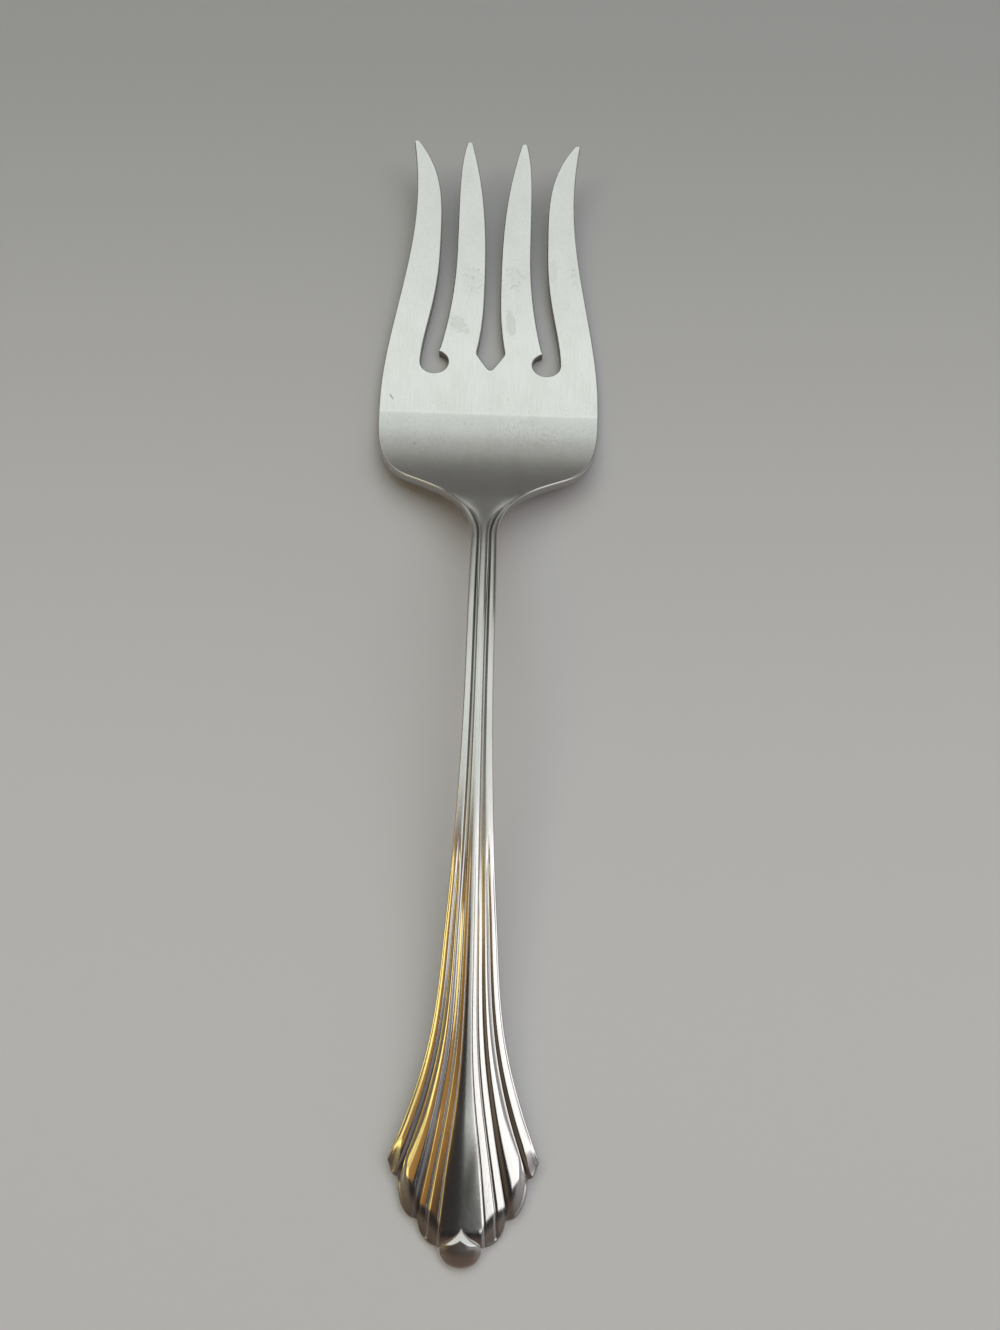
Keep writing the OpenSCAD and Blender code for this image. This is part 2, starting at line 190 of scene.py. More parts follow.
def soften(loop: Array, corner: int, reach: float, span: int = 40) -> None:
    """Rounds one corner of a closed outline in place and keeps the number of its points.

    Args:
        loop: Points of the outline, which are changed.
        corner: Number of the corner's point.
        reach: Length of each side that the rounding takes up, in millimetres.
        span: Points looked at on each side.
    """
    ids = (corner + np.arange(-span, span + 1)) % len(loop)
    path = loop[ids]
    run = run_along(path)
    away = run - run[span]
    start, stop = (np.array([np.interp(a, away, path[:, i]) for i in (0, 1)])
                   for a in (-reach, reach))
    near = np.abs(away) < reach
    t = (away[near, None] + reach) / (2 * reach)
    loop[ids[near]] = bend(start, path[span], stop, t)


def mirrored(path: Array) -> Array:
    """The path on the other side of the centre line, in the opposite order."""
    return (path * [-1, 1])[::-1]


def both_sides(points: list[Pair | Array]) -> Array:
    """Points of the right half of the fork, followed by their mirror images."""
    half = np.array(points)
    return np.concatenate([half, half * [-1, 1]])


def read_vectors(mesh: bpy.types.Mesh, kind: str) -> Array:
    """Reads a vector from each point of a mesh.

    Args:
        mesh: The mesh.
        kind: Blender's name for the vector, such as co for the place.

    Returns:
        The vectors, in the order of the points.
    """
    flat = np.zeros(len(mesh.vertices) * 3)
    mesh.vertices.foreach_get(kind, flat)
    return flat.reshape(-1, 3)


def make_mesh(name: str, points: Array, faces: list[Face],
              marks: dict[str, Array]) -> bpy.types.Mesh:
    """Makes a smooth mesh.

    Args:
        name: The mesh's name.
        points: Places of its points, in metres.
        faces: Numbers of each face's points.
        marks: Values that the points carry, by name.

    Returns:
        The mesh.
    """
    mesh = bpy.data.meshes.new(name)
    mesh.from_pydata(points.tolist(), [], faces)
    mesh.polygons.foreach_set("use_smooth", np.ones(len(mesh.polygons), bool))
    for mark, values in marks.items():
        layer = mesh.attributes.new(mark, "FLOAT", "POINT")
        layer.data.foreach_set("value", values.astype(np.float32))
    mesh.update()
    return mesh


def add_object(name: str, data: bpy.types.ID) -> bpy.types.Object:
    """Puts a new object into the scene.

    Args:
        name: The object's name.
        data: The mesh, lamp or camera that it shows.

    Returns:
        The object.
    """
    made = bpy.data.objects.new(name, data)
    bpy.context.scene.collection.objects.link(made)
    return made


class NodeMaker:
    """Adds nodes to a tree, together with what feeds their sockets."""

    def __init__(self, tree: bpy.types.NodeTree) -> None:
        """Works on the given tree."""
        self.tree = tree

    def feed(self, socket: Socket, value: Feed) -> None:
        """Links an output to a socket, or sets a constant on it.

        Args:
            socket: The socket that is fed.
            value: The output or the constant.
        """
        if isinstance(value, Socket):
            self.tree.links.new(value, socket)
        else:
            socket.default_value = value

    def add(self, kind: str, inputs: dict[str | int, Feed], **choices: str) -> bpy.types.Node:
        """Adds a node.

        Args:
            kind: Blender's name for the type of node.
            inputs: What feeds its sockets, by their names or numbers.
            choices: Settings that the node has apart from its sockets.

        Returns:
            The node.
        """
        node = self.tree.nodes.new(kind)
        for name, choice in choices.items():
            setattr(node, name, choice)
        for socket, value in inputs.items():
            self.feed(node.inputs[socket], value)
        return node

    def math(self, operation: str, *values: Feed) -> Socket:
        """Adds one step of arithmetic and returns its result."""
        return self.add("ShaderNodeMath", dict(enumerate(values)), operation=operation).outputs[0]

    def step(self, value: Socket, low: float, high: float,
             start: float = 0.0, stop: float = 1.0) -> Socket:
        """Smooth step of a value.

        Args:
            value: The value that moves between low and high.
            low: Where the step begins.
            high: Where it ends.
            start: Result before the step.
            stop: Result after it.

        Returns:
            The stepped result.
        """
        numbers = dict(enumerate((value, low, high, start, stop)))
        node = self.add("ShaderNodeMapRange", numbers, interpolation_type="SMOOTHSTEP")
        return node.outputs["Result"]


@dataclass(frozen=True)
class Stations:
    """Places along the fork, in millimetres from the end of the handle."""

    fan_root: float
    neck_foot: float
    shoulder: float
    root: float
    tip: float
    palm_length: float = 10.0
    crest_before_neck_foot: float = 21.5
    sheet_start_before_root: float = 6.0

    @classmethod
    def from_frame(cls) -> "Stations":
        """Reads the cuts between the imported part's sections.

        Returns:
            The stations of the far ends of its sections.
        """
        sections = ("fan", "shank", "neck", "head", "tine_outer_right")
        far_ends = [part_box(section)[1].y for section in sections]
        return cls(*((end + far_ends[-1]) / MM for end in far_ends))

    @property
    def crest(self) -> float:
        """Highest place of the arched shank."""
        return self.neck_foot - self.crest_before_neck_foot

    @property
    def crease(self) -> float:
        """Line across the head where the heel meets the palm."""
        return self.root - self.palm_length

    @property
    def sheet_start(self) -> float:
        """Where the head is widest, and the rows across it end."""
        return self.root - self.sheet_start_before_root


@dataclass(frozen=True)
class SideView:
    """Heights of the fork's two faces, in millimetres above the table."""

    at: Stations
    crest_rise: float = 12.97
    crease_angle: float = 4.5
    tine_lift: float = 7.0
    fan_thickness: float = 2.4
    shank_thickness: float = 3.0
    palm_thickness: float = 1.9
    tip_thickness: float = 1.2

    def under(self, s: Array) -> Array:
        """Side view of the underside, which arches under the handle and lifts to the tips.

        Args:
            s: Stations.

        Returns:
            Heights there.
        """
        at = self.at
        crest_knot = (at.crest, self.crest_rise, 0.0)
        crease_knot = (at.crease, 0.0, -math.tan(math.radians(self.crease_angle)))
        handle = self.crest_rise * ease(s / at.crest)
        heel = hermite(crest_knot, crease_knot, s)
        tines = self.tine_lift * (np.maximum(s - at.root, 0) / (at.tip - at.root)) ** 2
        return np.select([s < at.crest, s < at.crease], [handle, heel], tines)

    def thickness(self, s: Array) -> Array:
        """Thickness of the sheet from the fan to the tips.

        Args:
            s: Stations.

        Returns:
            Thicknesses there.
        """
        at = self.at
        handle = mix(self.fan_thickness, self.shank_thickness, ease(s / at.crest))
        heel_share = ease((s - at.crest) / (at.crease - at.crest))
        tine_share = np.maximum(s - at.root, 0) / (at.tip - at.root)
        return np.select([s < at.crest, s < at.crease],
                         [handle, mix(self.shank_thickness, self.palm_thickness, heel_share)],
                         mix(self.palm_thickness, self.tip_thickness, tine_share))

    def face(self, level: Level, s: Array) -> Array:
        """Height of one face at stations s."""
        return self.under(s) + (self.thickness(s) if level is Level.TOP else 0.0)

    def slope(self, level: Level, s: Array, span: float = 0.05) -> Array:
        """Rise of one face per millimetre of length at stations s."""
        return (self.face(level, s + span) - self.face(level, s - span)) / (2 * span)


@dataclass(frozen=True)
class PlanView:
    """Outline of the fork seen from above, in millimetres."""

    at: Stations
    head_width: float = 44.7
    shoulder_width: float = 30.8
    shoulder_angle: float = 27.0
    outer_tip_span: float = 36.0
    inner_tip_span: float = 12.2
    tip_width: float = 1.2
    edge_samples: int = 600
    eye_samples: int = 46
    waist_width: float = 34.8
    waist_drop: float = 14.5
    outer_gap_span: float = 23.2
    outer_gap_drop: float = 24.6
    outer_gap_power: float = 3.4
    inner_pair_width: float = 16.1
    inner_taper: float = 19.0
    inner_tip_power: float = 4.0
    barb_run_drop: float = 27.0
    slot_width: float = 3.3
    slot_drop: float = 36.5
    slot_power: float = 2.7
    throat_width: float = 5.9
    throat_height: float = 5.3
    throat_bottom: float = 0.9
    throat_power: float = 2.5
    throat_corner_power: float = 0.9
    eye_radius: float = 2.85
    eye_span: float = 23.3
    eye_ease_power: float = 1.4
    barb_rise: float = 0.96
    shank_width: float = 4.8
    taper_end: float = 92.0
    taper_knot: Triple = (50.0, 4.0, -0.08)
    flare_knot: Triple = (31.0, 5.95, -0.2)
    fan_width: float = 22.9
    fan_corner: float = 14.3
    fan_angle: float = 23.0
    neck_swell: float = 0.4
    neck_reach: float = 5.0
    shoulder_reach: float = 5.6
    corner_reach: float = 7.5
    widest_reach: float = 10.0

    @property
    def neck_curve(self) -> Array:
        """Side of the neck, from the shank to the end of the shoulder.

        Returns:
            Points of half width and station.
        """
        half, lean, end = self.shank_width / 2, self.shoulder_lean, self.shoulder_end
        return cubic([(half, self.at.neck_foot),
                      (half + self.neck_swell, self.at.shoulder - self.neck_reach),
                      end - self.shoulder_reach * lean, end])

    @property
    def corner_curve(self) -> Array:
        """Side of the head, from the end of the shoulder to its widest place.

        Returns:
            Points of half width and station.
        """
        half, widest = self.head_width / 2, self.at.sheet_start
        return cubic([self.shoulder_end, self.shoulder_end + self.corner_reach * self.shoulder_lean,
                      (half, widest - self.widest_reach), (half, widest)])

    @property
    def shoulder_lean(self) -> Array:
        """Direction of the shoulder at its end."""
        angle = math.radians(self.shoulder_angle)
        return np.array([math.cos(angle), math.sin(angle)])

    @property
    def shoulder_end(self) -> Array:
        """Half width and station of the end of the shoulder."""
        return np.array([self.shoulder_width / 2, self.at.shoulder])

    @property
    def eye(self) -> Array:
        """Centre of the right eye."""
        return np.array([self.eye_span / 2, self.at.root + self.eye_radius])

    def outline(self, s: Array) -> Array:
        """Outline of the handle, the head and the outer tines.

        Args:
            s: Stations.

        Returns:
            Half widths there.
        """
        at, shank_half = self.at, self.shank_width / 2
        fan = (self.fan_corner, self.fan_width / 2, -math.tan(math.radians(self.fan_angle)))
        shank = (self.taper_end, shank_half, 0.0)
        neck, corner = self.neck_curve, self.corner_curve
        head_half, waist_half = self.head_width / 2, self.waist_width / 2
        widest, waist = at.sheet_start, at.tip - self.waist_drop
        tip_half = (self.outer_tip_span + self.tip_width) / 2
        return np.select(
            [s < fan[0], s < self.flare_knot[0], s < self.taper_knot[0], s < shank[0],
             s < at.neck_foot, s < at.shoulder, s < widest, s < waist],
            [fan[1] + fan[2] * (s - fan[0]), hermite(fan, self.flare_knot, s),
             hermite(self.flare_knot, self.taper_knot, s), hermite(self.taper_knot, shank, s),
             shank_half + 0 * s, np.interp(s, neck[:, 1], neck[:, 0]),
             np.interp(s, corner[:, 1], corner[:, 0]),
             mix(head_half, waist_half, ease((s - widest) / (waist - widest)))],
            mix(waist_half, tip_half, ((s - waist) / self.waist_drop) ** 2))

    def stretch(self, s: Array, span: float = 0.2) -> Array:
        """Width across of a strip one millimetre wide along the outline at stations s."""
        slope = (self.outline(s + span) - self.outline(s - span)) / (2 * span)
        return np.sqrt(1 + slope**2)

    def outer_tine_inside(self, s: Array) -> Array:
        """Inner edge of the right outer tine, above the eye.

        Args:
            s: Stations.

        Returns:
            Distances from the centre line there.
        """
        low = self.at.tip - self.outer_gap_drop
        wide = self.eye[0] + self.eye_radius
        near = ease((clamp((low - s) / (low - self.eye[1]))) ** self.eye_ease_power)
        tip_edge = (self.outer_tip_span - self.tip_width) / 2
        far = (np.maximum(s - low, 0) / self.outer_gap_drop) ** self.outer_gap_power
        half = self.outer_gap_span / 2
        return np.where(s < low, mix(half, wide, near), mix(half, tip_edge, far))

    def inner_tine_outside(self, s: Array) -> Array:
        """Outer edge of the right inner tine, above the barb.

        Args:
            s: Stations.

        Returns:
            Distances from the centre line there.
        """
        barb = self.barb
        barb_end = self.at.tip - self.barb_run_drop
        half = self.inner_pair_width / 2
        near = 1 - clamp((barb_end - s) / (barb_end - barb[1])) ** 2
        tapering = np.maximum(s - self.at.tip + self.inner_taper, 0)
        far = (tapering / self.inner_taper) ** self.inner_tip_power
        tip_edge = (self.inner_tip_span + self.tip_width) / 2
        return np.where(s < barb_end, mix(barb[0], half, near), mix(half, tip_edge, far))

    def inner_tine_inside(self, s: Array) -> Array:
        """Inner edge of the right inner tine, above the bottom of the throat.

        Args:
            s: Stations.

        Returns:
            Distances from the centre line there.
        """
        narrow, corner = self.at.tip - self.slot_drop, self.at.root + self.throat_height
        bottom = self.at.root + self.throat_bottom
        throat = clamp((s - bottom) / (corner - bottom)) ** self.throat_corner_power
        belly = clamp((narrow - s) / (narrow - corner)) ** self.throat_power
        far = clamp((s - narrow) / self.slot_drop) ** self.slot_power
        tip_edge = (self.inner_tip_span - self.tip_width) / 2
        return np.select([s < corner, s < narrow],
                         [self.throat_width / 2 * throat,
                          mix(self.slot_width, self.throat_width, belly) / 2],
                         mix(self.slot_width / 2, tip_edge, far))

    @property
    def barb(self) -> Array:
        """Point of the right barb."""
        across = math.sqrt(1 - self.barb_rise**2)
        return self.eye + self.eye_radius * np.array([-across, self.barb_rise])

    def tine_path(self, step: float, tip_reach: float, barb_reach: float,
                  throat_reach: float) -> Array:
        """Outline of the tines, from the widest place on the right round to the left.

        Args:
            step: Distance between points, in millimetres.
            tip_reach: Length of each edge that the rounding of a tip takes up.
            barb_reach: The same for a barb.
            throat_reach: The same for the corners and the bottom of the throat.

        Returns:
            Points in plan, in order.
        """
        at = self.at

        def run(edge: Callable[[Array], Array], start: float, stop: float) -> Array:
            """Evenly spaced points of one edge between two stations."""
            s = np.linspace(start, stop, self.edge_samples)
            return walk(np.stack([edge(s), s], 1), step)

        turn = np.linspace(0, -math.pi - math.asin(self.barb_rise), self.eye_samples)
        eye = self.eye + self.eye_radius * np.stack([np.cos(turn), np.sin(turn)], 1)
        corner = at.root + self.throat_height
        bottom = at.root + self.throat_bottom
        outer = self.join_tip(run(self.outline, at.sheet_start, at.tip),
                              run(self.outer_tine_inside, at.tip, self.eye[1]), tip_reach)
        inner = self.join_tip(run(self.inner_tine_outside, self.barb[1], at.tip),
                              run(self.inner_tine_inside, at.tip, corner), tip_reach)
        throat = run(self.inner_tine_inside, corner, bottom)
        slot = join_round(np.concatenate([outer, eye[1:]]), inner, barb_reach)
        half = join_round(slot, throat, throat_reach)
        return join_round(half, mirrored(half), throat_reach)

    @staticmethod
    def join_tip(rising: Array, falling: Array, reach: float) -> Array:
        """Joins the two edges of a tine over its blunt tip, with both corners rounded.

        Args:
            rising: Edge that ends at the tip.
            falling: Edge that starts there.
            reach: Length of the edges that the rounding takes up, in millimetres.

        Returns:
            The joined path.
        """
        middle = (rising[-1] + falling[0]) / 2
        first = join_round(rising, np.stack([rising[-1], middle]), reach / 2)
        return join_round(np.concatenate([first, falling[:1]]), falling, reach / 2)

    def sharp_points(self) -> Array:
        """Tips and barbs of all tines, where the rounding of the edges is finer.

        Returns:
            Points in plan, on both sides.
        """
        tip = self.at.tip
        return both_sides([(self.outer_tip_span / 2, tip), (self.inner_tip_span / 2, tip),
                           self.barb])


@dataclass(frozen=True)
class Ornament:
    """Lines and relief of the handle: tongue, petals, beads and grooves, in millimetres."""

    plan: PlanView
    flute_root: float = 62.0
    tongue_delay: float = 26.0
    petal_delay: float = 12.0
    petals_part: float = 18.0
    flute_reach: float = 5.3
    petal_width: float = 19.4
    petal_notch: float = 12.0
    tongue_width: float = 13.0
    tongue_notch: float = 6.4
    bead_width: float = 2.0
    finial_width: float = 6.4
    finial_length: float = 5.55
    finial_side: float = 2.85
    point_power: float = 0.6
    seat_samples: int = 400
    petal_share_shank: float = 0.41
    step_width: float = 0.2
    line_share: float = 0.8
    line_half_width: float = 0.03
    inner_line_share: float = 0.51
    inner_line_half_width: float = 0.018
    inner_line_depth: float = 0.5
    petal_crest: float = 0.3
    inner_fall: float = 1.85
    outer_fall: float = 1.05
    bead_crest: float = 0.3
    bead_fall: float = 0.45
    fall_power: float = 2.0
    shank_line_share: float = 0.66
    neck_line_share: float = 0.88
    line_span: Pair = (12.0, 34.0)
    neck_line_span: Pair = (92.0, 112.0)
    rim_narrowing: float = 0.6
    rim_run: float = 12.0
    groove_past_neck: float = 3.0
    groove_fade: float = 8.0
    droop_start: float = 20.0
    droop_length: float = 16.0
    hollow_share: float = 0.7
    strip_hollow: float = 0.6
    fan_hollow: float = 0.45
    # Painted shade on the bent ends of the lobes.
    end_painted_shade: float = 0.45
    end_length: float = 4.2
    end_flatten: float = 0.45
    lobe_power: float = 0.6
    notch_share: float = 0.5
    tongue_fullness: float = 0.6
    inner_fullness: float = 0.8
    outer_fullness: float = 1.2

    @property
    def rim_width(self) -> float:
        """Width of the side beads of the shank and of their ends on the neck."""
        return (self.plan.shank_width - self.bead_width) / 2

    def tongue_edge(self, s: Array) -> Array:
        """Edge of the tongue, or of the field between the rims.

        Args:
            s: Stations.

        Returns:
            Half widths there.
        """
        plan = self.plan
        spread = self.flute_root - self.tongue_delay
        share_end = self.tongue_width / 2 / plan.outline(np.array(self.tongue_notch))
        opened = clamp((spread - s) / (spread - self.tongue_notch)) ** 2
        share = mix(self.bead_width / plan.shank_width, share_end, opened)
        narrowed = self.rim_narrowing * ease((s - plan.at.neck_foot) / self.rim_run)
        rim = self.rim_width * (1 - narrowed)
        field = plan.outline(s) - rim * plan.stretch(s)
        return np.where(s > plan.at.neck_foot, field, plan.outline(s) * share)

    def tongue_share(self, place: Array, s: Array) -> Array:
        """Where places of the tongue's band lie, drawn in where it becomes the bead.

        Args:
            place: Places in the band, from the centre line at 0 to the edge at 1.
            s: Stations.

        Returns:
            Shares of the tongue's half width.
        """
        (start, stop), (leave, arrive) = self.line_span, self.neck_line_span
        fan = mix(self.line_share, self.shank_line_share, ease((s - start) / (stop - start)))
        handle = mix(fan, self.neck_line_share, ease((s - leave) / (arrive - leave)))
        neck = 1 - (1 - self.neck_line_share) * self.bead_width / 2 / self.tongue_edge(s)
        line = np.where(s > self.plan.at.neck_foot, neck, handle)
        return place ** (np.log(line) / math.log(self.line_share))

    def petal_edge(self, s: Array) -> Array:
        """Outer edge of the inner petals.

        Args:
            s: Stations.

        Returns:
            Half widths there.
        """
        spread = self.flute_root - self.petal_delay
        notch = np.array(self.petal_notch)
        tongue = self.tongue_edge(notch)
        share_end = (self.petal_width / 2 - tongue) / (self.plan.outline(notch) - tongue)
        opened = clamp((spread - s) / (spread - self.petal_notch)) ** 2
        share = mix(self.petal_share_shank, share_end, opened)
        return mix(self.tongue_edge(s), self.plan.outline(s), share)

    def finial_point(self, t: Array) -> Array:
        """Edge of the finial's seat, from its point at 0 to its side at 1."""
        x = self.finial_width / 2 * np.power(t, 1 / self.point_power)
        return np.stack([x, mix(self.finial_length, self.finial_side, t)], -1)

    def finial_share(self, t: Array) -> Array:
        """The same edge as a share of the tongue's half width."""
        point = self.finial_point(t)
        return point[..., 0] / self.tongue_edge(point[..., 1])

    def notches(self) -> Array:
        """Corners of the scalloped end, where the rounding of the edges is finer.

        Returns:
            Points in plan, on both sides.
        """
        widths = (self.finial_width, self.tongue_width, self.petal_width, self.plan.fan_width)
        stations = (self.finial_side, self.tongue_notch, self.petal_notch, self.plan.fan_corner)
        return both_sides([(width / 2, station) for width, station in zip(widths, stations)])

    @staticmethod
    def lobe(high: float, low: float, share: Array, fullness: float) -> Array:
        """Stations of a petal's rounded end at shares of the way from its notch."""
        return mix(high, low, np.sin(clamp(share) * math.pi / 2) ** fullness)

    def end_station(self, band: Array, place: Array) -> Array:
        """Where columns end, which draws the finial's seat and the scalloped petals.

        Args:
            band: Number of each column's band.
            place: Its place in the band.

        Returns:
            Stations of the columns' ends.
        """
        t = np.linspace(0, 1, self.seat_samples)
        side = float(self.finial_share(np.array(1.0)))
        seat = np.interp(place, self.finial_share(t), self.finial_point(t)[:, 1])
        tongue = self.lobe(self.tongue_notch, self.finial_side, (1 - place) / (1 - side),
                           self.tongue_fullness)
        inner = self.lobe(self.petal_notch, self.tongue_notch, 1 - place, self.inner_fullness)
        outer = self.lobe(self.plan.fan_corner, self.petal_notch, 1 - place, self.outer_fullness)
        return np.select(
            [band == Band.OUTER_PETAL.value, band == Band.INNER_PETAL.value, place > side],
            [outer, inner, tongue], seat)

    def rib(self, across: Array, crest: float, fall: Array | float) -> Array:
        """Profile of a rib across a band: a cove, a crest, and a round slope to the outer edge."""
        outer = 1 - fall * clamp((across - crest) / (1 - crest)) ** self.fall_power
        return np.where(across < crest, ease(across / crest), outer)

    def end_share(self, band: Array, place: Array, s: Array) -> Array:
        """How far the petals' ends bend over, most in the middle of each lobe.

        Args:
            band: Number of each point's band.
            place: Its place in the band.
            s: Its station.

        Returns:
            Shares of the bend's depth.
        """
        side = float(self.finial_share(np.array(1.0)))
        tongue = band == Band.TONGUE.value
        across = clamp(np.where(tongue, (place - side) / (1 - side), place))
        share = mix(self.notch_share, 1, np.sin(math.pi * across) ** self.lobe_power)
        line = np.where(tongue & (place < side), self.finial_side, self.end_station(band, place))
        return share * clamp(1 - (s - line) / (self.end_length * share)) ** 2

    def relief(self, band: Array, place: Array, x: Array, s: Array) -> dict[str, Array]:
        """Marks of the die at points of the handle.

        Args:
            band: Number of each point's band.
            place: Place in the band, from its inner edge at 0 to its outer edge at 1.
            x: Distance from the centre line.
            s: Station.

        Returns:
            For each depth of the die, the share of it that each point drops by, and how dark the
            colour is made there: darker in the coves, lines and sunk strips, with painted shade on
                the bent ends of the lobes.
        """
        fluted = ease((self.flute_root - s) / self.petals_part)
        bent = self.end_share(band, place, s)
        pressed = 1 - ease((s - self.plan.at.neck_foot - self.groove_past_neck) / self.groove_fade)
        pressed = pressed * (1 - self.end_flatten * bent)
        tongue = band == Band.TONGUE.value
        outer = band == Band.OUTER_PETAL.value
        inner = np.where(outer, 0.0, 1.0)
        edge = self.tongue_edge(s)
        reach = self.plan.outline(s) - edge
        across = clamp((x - edge) / reach)
        single = 1 - self.rib(across, self.bead_crest, self.bead_fall)
        fall = np.where(outer, self.outer_fall, self.inner_fall)
        petal = 1 - self.rib(place, self.petal_crest, fall)
        rib = np.where(tongue, 0.0, mix(single, petal, fluted)) * pressed
        crown = np.where(tongue, clamp(x / edge) ** 2, 0.0) * pressed
        bead = np.minimum(crown, self.shank_line_share**2)
        line_width = 2 * self.line_half_width
        strip = ease((place - self.line_share + line_width) / (2 * line_width))
        line = np.exp(-(((place - self.line_share) / self.line_half_width) ** 2))
        inner_line = np.exp(-(((place - self.inner_line_share) / self.inner_line_half_width) ** 2))
        line = line + self.inner_line_depth * inner_line
        cove = mix(across / self.bead_crest, place / self.petal_crest, fluted)
        hollow = np.where(tongue, clamp(np.maximum(line, self.strip_hollow * strip * (1 - fluted))),
                          clamp(1 - cove / self.hollow_share))
        hollow = hollow * pressed * mix(1.0, self.fan_hollow, fluted)
        return {
            "tongue_crown": crown * fluted,
            "bead_crown": bead * (1 - fluted),
            "line": np.where(tongue, line, 0.0) * fluted,
            "groove": np.where(tongue, strip * pressed, rib) * (1 - fluted),
            "flute": rib * fluted * clamp(reach / self.flute_reach),
            "inner_fall": np.where(tongue, 0.0, mix(1.0, inner, fluted)) * pressed,
            "outer_fall": np.where(outer, fluted, 0.0) * pressed,
            "end_bend": bent,
            "droop": np.maximum((self.droop_start - s) / self.droop_length, 0) ** 2,
            # Darker tone in the recesses, and painted shade where the lobes' ends bend over.
            "hollow": np.maximum(hollow, self.end_painted_shade * bent),
        }


@dataclass(frozen=True)
class Die:
    """Depths that the die presses into the blank, in millimetres, by the name of its mark."""

    tongue_crown: float = 0.42
    bead_crown: float = 0.32
    line: float = 0.16
    groove: float = 0.45
    flute: float = 0.4
    inner_fall: float = 0.12
    outer_fall: float = 0.4
    end_bend: float = 0.75
    droop: float = 0.65

    def strike(self, blank: bpy.types.Object, material: bpy.types.Material) -> bpy.types.Mesh:
        """Presses the marks into a blank with a node tree.

        Args:
            blank: Object whose mesh carries one attribute for each mark.
            material: Finish set on the result.

        Returns:
            A plain mesh of the struck blank.
        """
        depths = vars(self)
        modifier = blank.modifiers.new("die", "NODES")
        modifier.node_group = self.tree(list(depths), material)
        for item in modifier.node_group.interface.items_tree:
            if item.item_type == "SOCKET" and item.name in depths:
                modifier[item.identifier] = depths[item.name] * MM
        graph = bpy.context.evaluated_depsgraph_get()
        struck = bpy.data.meshes.new_from_object(blank.evaluated_get(graph))
        blank.modifiers.remove(modifier)
        return struck

    @staticmethod
    def tree(marks: list[str], material: bpy.types.Material) -> bpy.types.NodeTree:
        """Builds the node tree that lowers each point by the sum of its marks times their depths.

        Args:
            marks: Names of the marks, and of the inputs for their depths.
            material: Finish set on the result.

        Returns:
            The tree.
        """
        group = bpy.data.node_groups.new("fork_die", "GeometryNodeTree")
        for way in ("INPUT", "OUTPUT"):
            group.interface.new_socket("Geometry", in_out=way, socket_type="NodeSocketGeometry")
        for mark in marks:
            group.interface.new_socket(mark, in_out="INPUT", socket_type="NodeSocketFloat")
        maker = NodeMaker(group)
        entry = maker.add("NodeGroupInput", {}).outputs
        total = 0.0
        for mark in marks:
            share = maker.add("GeometryNodeInputNamedAttribute", {"Name": mark}, data_type="FLOAT")
            total = maker.math("MULTIPLY_ADD", share.outputs["Attribute"], entry[mark], total)
        offset = maker.add("ShaderNodeCombineXYZ", {"Z": maker.math("MULTIPLY", total, -1.0)})
        geometry = entry["Geometry"]
        for kind, inputs in (("GeometryNodeSetPosition", {"Offset": offset.outputs[0]}),
                             ("GeometryNodeRealizeInstances", {}),
                             ("GeometryNodeSetMaterial", {"Material": material})):
            geometry = maker.add(kind, {"Geometry": geometry} | inputs).outputs["Geometry"]
        maker.add("NodeGroupOutput", {"Geometry": geometry})
        return group


